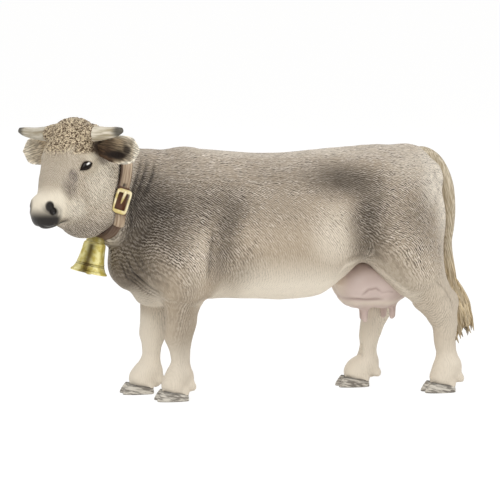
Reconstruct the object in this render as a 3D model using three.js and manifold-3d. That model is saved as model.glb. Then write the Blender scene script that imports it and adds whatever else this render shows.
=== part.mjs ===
// Toy dairy cow with a belled collar: a solid moulded and painted PVC figure, about 130 mm long.
// Millimetres, +Z up. The animal faces -X and its left side is -Y. The origin is on the ground, under the
// middle of the figure's box.
//
// The hide is modelled as a sculptor builds one up: tapered limbs, sleeves and egg-shaped muscles are blended
// into one distance field, which is negative inside, and the field's zero surface is skinned with facets.
// Hooves, horns, ears, tail and collar are lofts, and the bell is a revolve.
import * as THREE from "three";
import { mergeVertices } from "three/addons/utils/BufferGeometryUtils.js";
import { LoftGeometry } from "three/addons/geometries/LoftGeometry.js";
import Module from "manifold-3d";

const wasm = await Module();
wasm.setup();

// Trunk
const trunkLength = 100; // front of the chest to the back of the thighs
const trunkWidth = 37; // across the belly
const withersHeight = 70;
const muscleBlend = 4.5; // width of the fillet between one muscle and the next
const foldBlend = 3; // width of the lips of a fold or hollow

// Legs
const cannonWidth = 6; // thickness of a leg where it is thinnest
const hoofLength = 9.1;
const hoofWidth = 7.8;
const hoofHeight = 3;
const hoofCleft = 0.5; // least gap between the two toes

// Neck and head
const neckHeight = 23.8; // at the collar
const neckWidth = 15.6;
const headTurn = 36; // degrees to the animal's left
const headRoll = 2.5; // degrees that the left side is held up
const headLength = 25; // back of the cheek to the nose, measured level
const headWidth = 17.6; // across the brows
const headHeight = 33.6; // underside of the jaw to the top of the curls
const hornLength = 13.4; // outside the skull
const hornWidth = 4; // at the root
const earLength = 14.5;
const earHeight = 7.8;
const earThickness = 1.3;
const earCup = 1.6; // depth of the hollow in the ear

// Tail and udder
const tailWidth = 3;
const udderLength = 23;
const udderWidth = 19;
const udderDepth = 15.5;
const teatWidth = 1.9;
const teatLength = 3.4;

// Collar
const strapWidth = 3.2;
const strapThickness = 0.9;
const strapOverlap = 11; // length of strap that lies on itself, through the buckle
const buckleLength = 6.2;
const buckleWidth = 4.9;
const buckleBar = 0.85;
const prongWidth = 0.7;

// Bell
const bellHeight = 8.8;
const bellMouth = 10.4; // diameter
const bellCrown = 6.2; // diameter
const bellRecess = 3.2; // depth of the hollow in the mouth
const bellWall = 1;
const clapperWidth = 3.4;
const clapperDrop = 0.5; // how far the clapper shows below the rim
const stapleWire = 0.8;
const bellTilt = 9; // degrees off plumb, the mouth to the front

// How the pieces go together
const fitGap = 0.3; // glue gap round a peg and between bonded faces
const seatGap = 0.45; // glue gap where a horn, an ear, the tail or the udder seats on the hide
const pegWidth = 2; // the pegs that locate the bonded pieces
const pegLength = 3;
const spigotWidth = 9; // the stouter peg that carries the head
const barrelFacet = 4.9; // along the barrel, between the legs
const trunkFacet = 3.3;
const legFacet = 2.15;
const headFacet = 1.8;
const udderFacet = 2.6;
const overrun = 30; // how far a cutting block reaches past what it cuts

// Points and directions are arrays of x, y and z
const plus = (p, q) => [p[0] + q[0], p[1] + q[1], p[2] + q[2]];
const minus = (p, q) => [p[0] - q[0], p[1] - q[1], p[2] - q[2]];
const times = (p, s) => [p[0] * s, p[1] * s, p[2] * s];
const dot = (p, q) => p[0] * q[0] + p[1] * q[1] + p[2] * q[2];
const cross = (p, q) => [p[1] * q[2] - p[2] * q[1], p[2] * q[0] - p[0] * q[2], p[0] * q[1] - p[1] * q[0]];
const length = (p) => Math.hypot(p[0], p[1], p[2]);
const unit = (p) => times(p, 1 / length(p));
const mix = (a, b, t) => a + (b - a) * t;
const between = (p, q, t) => plus(times(p, 1 - t), times(q, t));
const clamp = (value, low, high) => Math.min(Math.max(value, low), high);
const ease = (t) => clamp(t, 0, 1) ** 2 * (3 - 2 * clamp(t, 0, 1));
const radians = (degrees) => (degrees * Math.PI) / 180;
const countTo = (count) => Array.from({ length: count }, (_, i) => i);
const axes = countTo(3);
const worldUp = unit([0, 0, 1]);
const bothSides = [1, -1].map(Math.sign); // left, then right
const fullTurn = 360; // degrees

// A frame has a centre and three directions: forward, to the left, and up
function frameAt(centre, ahead, up) {
  const forward = unit(ahead);
  const left = unit(cross(up, forward));
  return { centre, forward, left, up: cross(forward, left) };
}
const fromFrame = ({ centre, forward, left, up }, f, l, u) =>
  plus(plus(centre, times(forward, f)), plus(times(left, l), times(up, u)));

// A place on the body is given in shares: along the trunk, to the left of its middle in half widths, and up
// to the withers
const bodyFrame = frameAt([0, 0, 0], [-1, 0, 0], worldUp);
const place = ([along, left, up]) => [along * trunkLength, (-left * trunkWidth) / 2, up * withersHeight];
const bulk = ([along, left, up]) => [along * trunkLength, (left * trunkWidth) / 2, up * withersHeight];

// Fields: distance to a surface, negative inside it
function smoothLow(a, b, width) {
  const h = Math.max(width - Math.abs(a - b), 0) / width;
  return Math.min(a, b) - (h * h * width) / 4;
}
const blend = (width, fields) => (p) =>
  fields.reduce((low, field) => smoothLow(low, field(p), width), fields[0](p) + width);
const hollowed = (field, cutter, width) => (p) => -smoothLow(-field(p), cutter(p), width);
const grown = (field, gap) => (p) => field(p) - gap;

// An egg with three half sizes, whose top leans back by some degrees
function egg(frame, centre, [long, wide, tall], lean) {
  const cos = Math.cos(radians(lean));
  const sin = Math.sin(radians(lean));
  return (p) => {
    const d = minus(p, centre);
    const f = dot(d, frame.forward);
    const l = dot(d, frame.left);
    const u = dot(d, frame.up);
    const q = [(f * cos + u * sin) / long, l / wide, (u * cos - f * sin) / tall];
    const near = length(q);
    const slope = Math.hypot(q[0] / long, q[1] / wide, q[2] / tall);
    return near > 0 ? (near * (near - 1)) / slope : -Math.min(long, wide, tall);
  };
}

// A chain of tapered round bars through joints, each a place and a radius
function limb(joints) {
  const bars = joints.slice(1).map(([to, toRadius], i) => {
    const [from, fromRadius] = joints[i];
    const run = minus(to, from);
    return { from, run, square: dot(run, run), fromRadius, toRadius };
  });
  return (p) => {
    let low = Infinity;
    for (const { from, run, square, fromRadius, toRadius } of bars) {
      const d = minus(p, from);
      const t = clamp(dot(d, run) / square, 0, 1);
      low = Math.min(low, length(minus(d, times(run, t))) - mix(fromRadius, toRadius, t));
    }
    return low;
  };
}

// A straight sleeve of oval section, whose half height and half width change evenly from end to end
function sleeve(from, to, fromSection, toSection) {
  const reach = length(minus(to, from));
  const frame = frameAt(from, minus(to, from), worldUp);
  return (p) => {
    const d = minus(p, from);
    const t = dot(d, frame.forward) / reach;
    const [halfHeight, halfWidth] = axes.map((i) => mix(fromSection[i], toSection[i], clamp(t, 0, 1)));
    const u = dot(d, frame.up);
    const l = dot(d, frame.left);
    const q = Math.hypot(u / halfHeight, l / halfWidth);
    const wall = q > 0 ? Math.hypot(u, l) * (1 - 1 / q) : -halfWidth;
    return Math.max(wall, Math.max(-t, t - 1) * reach);
  };
}

// Trunk outline: along the trunk, then the back, the belly and the half width, in shares
const trunkShares = [
  [0.03, 0.9, 0.54, 0.3],
  [0.08, 0.97, 0.45, 0.52],
  [0.14, 1.0, 0.4, 0.68],
  [0.22, 1.004, 0.376, 0.82],
  [0.32, 0.99, 0.386, 0.91],
  [0.42, 0.977, 0.382, 0.98],
  [0.52, 0.977, 0.376, 1.0],
  [0.61, 0.986, 0.39, 0.99],
  [0.67, 0.992, 0.45, 0.96],
  [0.73, 0.995, 0.52, 0.92],
  [0.81, 0.998, 0.55, 0.84],
  [0.88, 0.985, 0.58, 0.7],
  [0.945, 0.93, 0.62, 0.48],
];
const backTaperShare = 0.14; // how much narrower the barrel is at the back than halfway down
const barrelPower = 2.25; // 2 is an oval section, and more is squarer

// A smooth curve through one column of a table whose first column rises steadily
function readTable(table, column, share) {
  const last = table.length - 1;
  const first = clamp(table.findLastIndex((row) => row[0] <= share), 0, last - 1);
  const t = clamp((share - table[first][0]) / (table[first + 1][0] - table[first][0]), 0, 1);
  const [a, b, c, d] = [-1, 0, 1, 2].map((step) => table[clamp(first + step, 0, last)][column]);
  return b + 0.5 * t * (c - a + t * (2 * a - 5 * b + 4 * c - d + t * (3 * (b - c) + d - a)));
}

function trunk() {
  const front = trunkShares[0][0];
  const rear = trunkShares.at(-1)[0];
  return (p) => {
    const share = p[0] / trunkLength;
    const inside = clamp(share, front, rear);
    const back = readTable(trunkShares, 1, inside) * withersHeight;
    const belly = readTable(trunkShares, 2, inside) * withersHeight;
    const halfHeight = (back - belly) / 2;
    const u = p[2] - (back + belly) / 2;
    const taper = 1 - backTaperShare * clamp(u / halfHeight, -1, 1);
    const halfWidth = (readTable(trunkShares, 3, inside) * trunkWidth * taper) / 2;
    const sideways = Math.abs(p[1] / halfWidth) ** barrelPower;
    const upright = Math.abs(u / halfHeight) ** barrelPower;
    const q = (sideways + upright) ** (1 / barrelPower);
    const wall = q > 0 ? Math.hypot(p[1], u) * (1 - 1 / q) : -halfWidth;
    const end = Math.max(front - share, share - rear) * trunkLength;
    return -smoothLow(-wall, -end, muscleBlend);
  };
}

// Muscles: where each one is and how far it reaches, in shares, and how far its top leans back, in degrees
const pairedMuscleShares = [
  { at: [0.235, 0.54, 0.72], reach: [0.1, 0.32, 0.2], lean: 22 }, // shoulder blade
  { at: [0.2, 0.56, 0.57], reach: [0.1, 0.34, 0.16], lean: 24 }, // upper arm
  { at: [0.845, 0.42, 0.69], reach: [0.124, 0.47, 0.25], lean: 0 }, // thigh
  { at: [0.73, 0.58, 0.91], reach: [0.05, 0.16, 0.04], lean: 0 }, // hook of the hip
  { at: [0.93, 0.24, 0.87], reach: [0.04, 0.14, 0.06], lean: 0 }, // pin bone
];
const middleMuscleShares = [
  { at: [0.125, 0, 0.53], reach: [0.125, 0.5, 0.165], lean: 0 }, // brisket
  { at: [0.9, 0, 0.95], reach: [0.04, 0.16, 0.04], lean: 0 }, // root of the tail
];
const hollowShares = [
  { at: [0.66, 1.02, 0.86], reach: [0.07, 0.2, 0.09], lean: 0 }, // in front of the hip
  { at: [0.7, 1.08, 0.7], reach: [0.03, 0.2, 0.16], lean: 0 }, // between belly and thigh
];

// Legs: each joint's place in shares, and its thickness as a share of the cannon's. A hind leg also has the
// point of its hock.
const legShares = {
  frontLeft: {
    hoof: [0.168, 0.54],
    joints: [
      [0.225, 0.56, 0.52, 2.6],
      [0.215, 0.58, 0.43, 2.1],
      [0.2, 0.56, 0.35, 1.6],
      [0.191, 0.54, 0.257, 1.3],
      [0.194, 0.54, 0.2, 0.98],
      [0.196, 0.54, 0.155, 0.96],
      [0.193, 0.54, 0.105, 1.26],
      [0.178, 0.54, 0.06, 1.22],
    ],
  },
  frontRight: {
    hoof: [0.106, -0.4],
    joints: [
      [0.2, -0.56, 0.52, 2.6],
      [0.185, -0.54, 0.43, 2.1],
      [0.17, -0.48, 0.35, 1.6],
      [0.157, -0.44, 0.24, 1.26],
      [0.152, -0.42, 0.19, 0.98],
      [0.15, -0.41, 0.15, 0.96],
      [0.142, -0.4, 0.1, 1.24],
      [0.122, -0.4, 0.06, 1.22],
    ],
  },
  rearLeft: {
    hoof: [0.945, 0.54],
    joints: [
      [0.845, 0.56, 0.6, 3.0],
      [0.882, 0.57, 0.485, 2.6],
      [0.918, 0.56, 0.41, 2.0],
      [0.955, 0.54, 0.345, 1.5],
      [0.966, 0.54, 0.28, 1.18],
      [0.9645, 0.54, 0.215, 1.0],
      [0.97, 0.54, 0.165, 1.02],
      [0.975, 0.54, 0.112, 1.34],
      [0.96, 0.54, 0.06, 1.26],
    ],
    hock: [0.978, 0.54, 0.375, 0.7],
  },
  rearRight: {
    hoof: [0.742, -0.43],
    joints: [
      [0.825, -0.56, 0.6, 3.0],
      [0.825, -0.57, 0.485, 2.5],
      [0.815, -0.54, 0.41, 1.9],
      [0.818, -0.48, 0.345, 1.5],
      [0.808, -0.45, 0.28, 1.24],
      [0.794, -0.44, 0.205, 1.02],
      [0.788, -0.43, 0.16, 1.02],
      [0.78, -0.43, 0.112, 1.32],
      [0.758, -0.43, 0.06, 1.26],
    ],
    hock: [0.842, -0.48, 0.375, 0.7],
  },
};

function leg({ joints, hock }) {
  const joint = ([along, left, up, thick]) => [place([along, left, up]), (thick * cannonWidth) / 2];
  if (!hock) return limb(joints.map(joint));
  const heel = limb([joint(hock), joint(joints[3])]);
  return blend(foldBlend, [limb(joints.map(joint)), heel]);
}

// The neck runs from between the shoulders to the collar, where its section is an upright oval
const neckRootShares = [0.18, 0, 0.755];
const neckEndShares = [0, 0.243, 0.838];
const neckRoot = place(neckRootShares);
const neckEnd = place(neckEndShares);
const neckFrame = frameAt(neckEnd, minus(neckEnd, neckRoot), worldUp);
const neckSection = [neckHeight / 2, neckWidth / 2];
const neckRootSection = [neckHeight * 0.7, neckWidth * 0.72];
const collarSpan = strapWidth; // half the straight stretch of neck that the collar lies on
const collarStart = fromFrame(neckFrame, -collarSpan, 0, 0);
const collarEnd = fromFrame(neckFrame, collarSpan, 0, 0);
const collarSeat = sleeve(collarStart, collarEnd, neckSection, neckSection);

function bodyField() {
  const form = ({ at, reach, lean }, side) =>
    egg(bodyFrame, place([at[0], at[1] * side, at[2]]), bulk(reach), lean);
  const mirrored = (rows) => bothSides.flatMap((side) => rows.map((row) => form(row, side)));
  const flesh = blend(muscleBlend, [
    trunk(),
    sleeve(neckRoot, collarStart, neckRootSection, neckSection),
    collarSeat,
    ...middleMuscleShares.map((row) => form(row, 1)),
    ...mirrored(pairedMuscleShares),
    ...Object.values(legShares).map(leg),
  ]);
  return hollowed(flesh, blend(foldBlend, mirrored(hollowShares)), foldBlend);
}

// The head's own frame stands below the poll, level with the underside of the jaw
const headForward = [-Math.cos(radians(headTurn)), -Math.sin(radians(headTurn)), 0];
const headUp = plus(
  times(worldUp, Math.cos(radians(headRoll))),
  times(cross(headForward, worldUp), Math.sin(radians(headRoll))),
);
const headShares = [-0.106, 0.77, 0.663];
const headFrame = frameAt(place(headShares), headForward, headUp);
// Places and reaches on the head are shares of its length, its half width and its height
const onHead = ([f, l, u]) => fromFrame(headFrame, f * headLength, (l * headWidth) / 2, u * headHeight);
const headBulk = ([f, l, u]) => [f * headLength, (l * headWidth) / 2, u * headHeight];
const middleHeadShares = [
  { at: [-0.04, 0, 0.72], reach: [0.31, 0.84, 0.2], lean: 0 }, // skull
  { at: [-0.02, 0, 0.875], reach: [0.2, 0.66, 0.11], lean: 0 }, // curls on the poll
  { at: [0.2, 0, 0.54], reach: [0.16, 0.58, 0.29], lean: 24 }, // bridge of the nose
  { at: [0.43, 0, 0.265], reach: [0.2, 0.6, 0.13], lean: 0 }, // muzzle
  { at: [0.36, 0, 0.2], reach: [0.16, 0.42, 0.08], lean: 0 }, // chin
];
const pairedHeadShares = [
  { at: [0.06, 0.46, 0.67], reach: [0.17, 0.38, 0.09], lean: 10 }, // brow
  { at: [0.08, 0.38, 0.46], reach: [0.27, 0.45, 0.34], lean: 16 }, // side of the face
  { at: [-0.17, 0.42, 0.47], reach: [0.27, 0.45, 0.28], lean: 0 }, // cheek
];
// Jaw: forward, left and up, and radius as a share of the head's width
const jawShares = [
  [0.28, 0.1, 0.24, 0.12],
  [-0.06, 0.2, 0.13, 0.24],
  [-0.23, 0.36, 0.22, 0.25],
  [-0.27, 0.38, 0.53, 0.25],
];
const eyeShares = { at: [0.12, 0.8, 0.595], reach: [0.07, 0.14, 0.037], lean: 0 };
const nostrilShares = { at: [0.57, 0.44, 0.265], reach: [0.05, 0.13, 0.04], lean: 0 };
const napeShares = [-0.1, 0.05, 0.5]; // middle of the skull, where the neck ends

function headField() {
  const form = ({ at, reach, lean }, side) =>
    egg(headFrame, onHead([at[0], at[1] * side, at[2]]), headBulk(reach), lean);
  const jaw = (side) => limb(jawShares.map(([f, l, u, r]) => [onHead([f, l * side, u]), r * headWidth]));
  const flesh = blend(muscleBlend / 1.5, [
    ...middleHeadShares.map((row) => form(row, 1)),
    ...bothSides.flatMap((side) => [jaw(side), ...pairedHeadShares.map((row) => form(row, side))]),
    sleeve(collarEnd, onHead(napeShares), neckSection, times(neckSection.concat(0), 0.92)),
    collarSeat,
  ]);
  const [eyes, nostrils] = [eyeShares, nostrilShares].map((row) => bothSides.map((side) => form(row, side)));
  const face = blend(foldBlend / 3, [flesh, ...eyes]);
  return hollowed(face, blend(fitGap, nostrils), fitGap);
}

// Solids
const solid = (vertProperties, triVerts) =>
  new wasm.Manifold(new wasm.Mesh({ numProp: 3, vertProperties, triVerts }));

// A closed geometry with its shared vertices merged, its empty facets dropped and its faces pointing out
function solidFrom(geometry) {
  const bare = new THREE.BufferGeometry().copy(geometry);
  bare.deleteAttribute("normal");
  bare.deleteAttribute("uv");
  const merged = mergeVertices(bare);
  const points = merged.attributes.position.array;
  const corner = (i) => Array.from(points.slice(i * 3, i * 3 + 3));
  const facets = [];
  let volume = 0;
  for (let i = 0; i < merged.index.count; i += 3) {
    const [a, b, c] = merged.index.array.slice(i, i + 3);
    if (a === b || b === c || c === a) continue;
    volume += dot(corner(a), cross(corner(b), corner(c)));
    facets.push([a, b, c]);
  }
  const outward = volume > 0 ? facets : facets.map((facet) => facet.reverse());
  return solid(points, new Uint32Array(outward.flat()));
}

// Skinning: a grid cell that the surface crosses gets one vertex for each patch of surface in it, and each
// grid line that the surface crosses gets a four-sided facet between the cells round it
const cornerBits = axes.map((axis) => 2 ** axis);
const cellCorners = countTo(8);
const cellEdges = cornerBits.flatMap((bit) =>
  cellCorners.filter((corner) => !(corner & bit)).map((corner) => [corner, corner | bit]));
const edgeBetween = (a, b) =>
  cellEdges.findIndex(([low, high]) => low === Math.min(a, b) && high === Math.max(a, b));
const cellFaces = cornerBits.flatMap((bit, axis) => {
  const [b, c] = [cornerBits[(axis + 1) % 3], cornerBits[(axis + 2) % 3]];
  return [0, bit].map((side) => {
    const corners = [side, side | b, side | b | c, side | c];
    return { corners, edges: corners.map((corner, i) => edgeBetween(corner, corners[(i + 1) % 4])) };
  });
});

// Names the patch that each crossed edge of a cell belongs to. On a face that is crossed four times the
// inside corners are kept apart, so that neighbouring cells agree.
function cellPatches(inside) {
  const patch = cellEdges.map(([a, b], i) => (inside[a] === inside[b] ? -1 : i));
  const join = (a, b) => {
    const [keep, drop] = [patch[a], patch[b]];
    patch.forEach((name, i) => {
      if (name === drop) patch[i] = keep;
    });
  };
  for (const { corners, edges } of cellFaces) {
    const crossed = edges.filter((edge) => patch[edge] >= 0);
    if (crossed.length === 2) join(...crossed);
    if (crossed.length < 4) continue;
    corners.forEach((corner, i) => {
      if (inside[corner]) join(edges[i], edges[(i + 3) % 4]);
    });
  }
  return patch;
}

function gridLines(low, high, cell) {
  const count = Math.ceil((high - low) / cell);
  return Array.from({ length: count + 1 }, (_, i) => mix(low, high, i / count));
}

// Moves a point along the field's slope, in short steps, to where the field is zero
function settle(field, start, step) {
  let p = start;
  for (let round = 0; round < 3; round += 1) {
    const slope = axes.map((axis) => {
      const shift = axes.map((other) => (other === axis ? step : 0));
      return (field(plus(p, shift)) - field(minus(p, shift))) / (2 * step);
    });
    const move = -field(p) / Math.max(dot(slope, slope), 0.25);
    p = plus(p, times(slope, clamp(move, -step * 4, step * 4)));
  }
  return p;
}

function skin(field, [xs, ys, zs]) {
  const index = (i, j, k) => (i * ys.length + j) * zs.length + k;
  const values = new Float64Array(xs.length * ys.length * zs.length);
  const eachCell = (visit) => {
    for (let i = 0; i < xs.length - 1; i += 1) {
      for (let j = 0; j < ys.length - 1; j += 1) {
        for (let k = 0; k < zs.length - 1; k += 1) visit(i, j, k);
      }
    }
  };
  xs.forEach((x, i) => ys.forEach((y, j) => zs.forEach((z, k) => {
    values[index(i, j, k)] = field([x, y, z]);
  })));
  const step = (xs[1] - xs[0]) / 16;
  const vertices = [];
  const vertexOf = new Map();
  eachCell((i, j, k) => {
    const corners = cellCorners.map((c) => [i + (c & 1), j + ((c >> 1) & 1), k + (c >> 2)]);
    const levels = corners.map((corner) => values[index(...corner)]);
    const inside = levels.map((level) => level < 0);
    if (inside.every(Boolean) || !inside.some(Boolean)) return;
    const patches = cellPatches(inside);
    for (const patch of new Set(patches.filter((name) => name >= 0))) {
      const edges = cellEdges.filter((_, edge) => patches[edge] === patch);
      const crossings = edges.map(([a, b]) => {
        const [from, to] = [corners[a], corners[b]].map(([x, y, z]) => [xs[x], ys[y], zs[z]]);
        return between(from, to, levels[a] / (levels[a] - levels[b]));
      });
      patches.forEach((name, edge) => {
        if (name === patch) vertexOf.set(index(i, j, k) * cellEdges.length + edge, vertices.length);
      });
      vertices.push(settle(field, meanOf(crossings), step));
    }
  });
  const triangles = [];
  const distance = (a, b) => length(minus(vertices[a], vertices[b]));
  eachCell((...start) => axes.forEach((axis) => {
    const end = start.map((value, i) => value + (i === axis));
    const low = values[index(...start)] < 0;
    if (low === values[index(...end)] < 0) return;
    const [b, c] = [(axis + 1) % 3, (axis + 2) % 3];
    const ring = [[1, 1], [0, 1], [0, 0], [1, 0]].map(([backB, backC]) => {
      const cell = start.slice();
      cell[b] -= backB;
      cell[c] -= backC;
      const corner = backB * cornerBits[b] + backC * cornerBits[c];
      return vertexOf.get(index(...cell) * cellEdges.length + edgeBetween(corner, corner + cornerBits[axis]));
    });
    const [p, q, r, s] = low ? ring : ring.reverse();
    if (distance(p, r) < distance(q, s)) triangles.push(p, q, r, p, r, s);
    else triangles.push(p, q, s, q, r, s);
  }));
  return solid(new Float32Array(vertices.flat()), new Uint32Array(triangles));
}

// A loft through rings of points, which all run the same way round
const meanOf = (points) => times(points.reduce(plus), 1 / points.length);
function loft(rings, options = { capStart: true, capEnd: true }) {
  const [first, second] = rings;
  const middle = meanOf(first);
  const arms = first.map((p) => minus(p, middle));
  const turning = arms.map((arm, i) => cross(arm, arms[(i + 1) % arms.length]));
  const backwards = dot(turning.reduce(plus), minus(meanOf(second), middle)) < 0;
  const ordered = backwards ? rings.map((ring) => ring.toReversed()) : rings;
  const sections = ordered.map((ring) => ring.map((p) => new THREE.Vector3(...p)));
  return solidFrom(new LoftGeometry(sections, options));
}

// A ring across the up direction of a frame: 2 is an oval, and a higher power is squarer
function ovalRing(frame, halfForward, halfLeft, sides, power = 2) {
  const bulge = (value) => Math.sign(value) * Math.abs(value) ** (2 / power);
  return Array.from({ length: sides }, (_, i) => {
    const turn = (i / sides) * Math.PI * 2;
    return fromFrame(frame, halfForward * bulge(Math.cos(turn)), halfLeft * bulge(Math.sin(turn)), 0);
  });
}

// A frame whose up direction runs along a path
function acrossPath(centre, along, guide) {
  const up = unit(along);
  const left = unit(cross(up, guide));
  return { centre, forward: cross(left, up), left, up };
}

const rodSides = 10;
function rod(from, to, radius, sides = rodSides) {
  const along = minus(to, from);
  const guide = Math.abs(unit(along)[2]) < 0.9 ? worldUp : bodyFrame.forward;
  return loft([from, to].map((centre) => ovalRing(acrossPath(centre, along, guide), radius, radius, sides)));
}

// A peg and the socket for it, which is wider by the glue gap all round, and as much deeper. The peg's root
// reaches back into the piece that it belongs to.
function pegJoint(root, tip, width) {
  const along = unit(minus(tip, root));
  return {
    peg: rod(root, tip, width / 2),
    socket: rod(root, plus(tip, times(along, fitGap)), width / 2 + fitGap),
  };
}

// The hide and the skull, and both grown by the glue gap, to trim the pieces that seat on them
const hideField = bodyField();
const skullField = headField();
const hideFront = collarEnd[0] - neckHeight / 4;
const hideGrid = [
  [
    ...gridLines(hideFront, 0.28 * trunkLength, legFacet * 1.15),
    ...gridLines(0.28 * trunkLength, 0.68 * trunkLength, barrelFacet).slice(1),
    ...gridLines(0.68 * trunkLength, 1.06 * trunkLength, legFacet * 1.15).slice(1),
  ],
  gridLines(-0.6 * trunkWidth, 0.6 * trunkWidth, trunkFacet * 0.85),
  [
    ...gridLines(-0.03 * withersHeight, 0.36 * withersHeight, legFacet),
    ...gridLines(0.36 * withersHeight, 1.06 * withersHeight, trunkFacet * 1.1).slice(1),
  ],
];
const headMiddle = onHead([0, 0, 0.5]);
const headReach = headHeight * 0.72;
const headGrid = headMiddle.map((value) => gridLines(value - headReach, value + headReach, headFacet));
const grownHide = skin(grown(hideField, seatGap), hideGrid);
const grownSkull = skin(grown(skullField, seatGap), headGrid);

// Neck joint: the body and the head meet under the collar, and the head's spigot goes into the body. A block
// reaches forward from the joint, or back from it, past the gap.
const neckBlock = (side) => {
  const face = fromFrame(neckFrame, (-side * fitGap) / 2, 0, 0);
  return rod(face, fromFrame(neckFrame, side * overrun, 0, 0), overrun, 4);
};
const headJoint = pegJoint(
  fromFrame(neckFrame, pegLength, 0, 0),
  fromFrame(neckFrame, -pegLength * 2, 0, 0),
  spigotWidth,
);

// Tail: places and widths along its line, from inside the rump to the tip of the switch
const tailShares = [
  [0.885, 0, 0.945, 1.5],
  [0.925, 0, 0.96, 1.5],
  [0.96, 0, 0.938, 1.3],
  [0.985, 0, 0.888, 1.15],
  [1.003, 0, 0.822, 1.1],
  [1.01, 0, 0.74, 1.05],
  [1.009, 0, 0.665, 0.95],
  [1.002, 0, 0.6, 0.98],
  [1.004, 0, 0.53, 1.15],
  [1.014, 0, 0.45, 1.5],
  [1.032, 0, 0.37, 1.85],
  [1.055, 0, 0.295, 1.6],
  [1.08, 0, 0.225, 0.35],
];
const lockShares = [
  { from: [1.022, 0, 0.43], to: [1.06, 0.08, 0.19] },
  { from: [1.032, 0, 0.4], to: [1.09, -0.09, 0.235] },
  { from: [1.03, 0, 0.4], to: [1.074, -0.03, 0.18] },
];
const tailPegShares = [
  [0.983, 0, 0.89],
  [0.91, 0, 0.865],
];
const tailSteps = 26;
const tailSides = 8;

// A tapered round bar along a smooth line through points, with a radius for each point
function taperedBar(points, radii, steps, sides) {
  const line = new THREE.CatmullRomCurve3(points.map((p) => new THREE.Vector3(...p)));
  const table = radii.map((radius, i) => [i / (radii.length - 1), radius]);
  return loft(Array.from({ length: steps + 1 }, (_, i) => {
    const t = i / steps;
    const frame = acrossPath(line.getPoint(t).toArray(), line.getTangent(t).toArray(), bodyFrame.left);
    const radius = readTable(table, 1, t);
    return ovalRing(frame, radius, radius, sides);
  }));
}

const tailJoint = pegJoint(...tailPegShares.map(place), pegWidth);

function tail() {
  const points = tailShares.map((row) => place(row));
  const bar = taperedBar(points, tailShares.map((row) => (row[3] * tailWidth) / 2), tailSteps, tailSides);
  const locks = lockShares.map(({ from, to }) => {
    const ends = [place(from), between(place(from), place(to), 0.6), place(to)];
    return taperedBar(ends, [tailWidth * 0.4, tailWidth * 0.45, tailWidth * 0.08], 5, 6);
  });
  return locks.reduce((all, lock) => all.add(lock), bar).subtract(grownHide).add(tailJoint.peg);
}

// Udder: two quarters a side, and a teat under each
const udderMiddleShares = [0.765, 0, 0.44];
const udderShares = [
  { at: [0.1, 0, 0.02], reach: [0.86, 0.9, 0.92] },
  { at: [-0.36, 0.3, -0.14], reach: [0.72, 0.66, 0.8] },
  { at: [-0.36, -0.3, -0.14], reach: [0.72, 0.66, 0.8] },
  { at: [0.3, 0.28, -0.08], reach: [0.6, 0.66, 0.82] },
  { at: [0.3, -0.28, -0.08], reach: [0.6, 0.66, 0.82] },
];
const teatShares = [
  [0.07, 0.32, -0.6],
  [0.07, -0.32, -0.6],
  [-0.53, 0.3, -0.6],
  [-0.53, -0.3, -0.6],
];
const teatSides = 7;
const udderPegShares = [
  [0, 0, 0],
  [0, 0, 1.5],
];
const udderHalf = [udderLength / 2, udderWidth / 2, udderDepth / 2];
const udderFrame = { ...bodyFrame, centre: place(udderMiddleShares) };
const onUdder = (shares) => fromFrame(udderFrame, ...axes.map((i) => shares[i] * udderHalf[i]));
const udderJoint = pegJoint(...udderPegShares.map(onUdder), pegWidth * 2);

function udder() {
  const quarters = udderShares.map(({ at, reach }) =>
    egg(bodyFrame, onUdder(at), axes.map((i) => reach[i] * udderHalf[i]), 0));
  const bag = blend(foldBlend / 2, quarters);
  const grid = axes.map((axis) => {
    const reach = [udderLength, udderWidth, udderDepth * 1.35][axis] * 0.62;
    return gridLines(udderFrame.centre[axis] - reach, udderFrame.centre[axis] + reach, udderFacet);
  });
  const teats = teatShares.map((shares) => {
    const root = onUdder(shares);
    const tip = plus(root, times(worldUp, -teatLength - udderDepth / 5));
    const radii = [0.6, 0.5, 0.45, 0.3].map((share) => share * teatWidth);
    return taperedBar([root, between(root, tip, 0.4), between(root, tip, 0.9), tip], radii, 4, teatSides);
  });
  return teats.reduce((all, teat) => all.add(teat), skin(bag, grid)).subtract(grownHide).add(udderJoint.peg);
}

// Horns: forward, out and up from the root, in lengths of the horn, and width in shares of the root's
const hornRootShares = [0.0, 0.66, 0.835];
const hornShares = [
  [0, -0.16, 0.0, 1.05],
  [0, 0.1, -0.01, 1],
  [0.02, 0.36, -0.02, 0.9],
  [0.04, 0.62, 0.0, 0.74],
  [0.06, 0.84, 0.06, 0.54],
  [0.07, 1, 0.13, 0.2],
];
const hornSteps = 7;
const hornSides = 9;

function horn(side) {
  const root = onHead([hornRootShares[0], hornRootShares[1] * side, hornRootShares[2]]);
  const frame = { ...headFrame, centre: root };
  const points = hornShares.map(([f, l, u]) => fromFrame(frame, ...times([f, l * side, u], hornLength)));
  const pegEnds = [side, -side].map((way) => fromFrame(frame, 0, way * pegLength, 0));
  const joint = pegJoint(...pegEnds, pegWidth);
  const bar = taperedBar(points, hornShares.map((row) => (row[3] * hornWidth) / 2), hornSteps, hornSides);
  return { solid: bar.subtract(grownSkull).add(joint.peg), socket: joint.socket };
}

// Ears: how tall the ear is along its length, from the root to the tip, in shares
const earRootShares = [-0.08, 0.78, 0.717];
const earShares = [
  [0, 0.5],
  [0.16, 0.52],
  [0.34, 0.78],
  [0.56, 1],
  [0.76, 0.97],
  [0.9, 0.78],
  [0.97, 0.52],
  [1, 0.2],
];
const earSteps = 9;
const earPoints = 5; // across each side of the ear
const earBackShare = 0.1; // how far back the tip lies, in ear lengths
const earDroopShare = 0.03;

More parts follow.
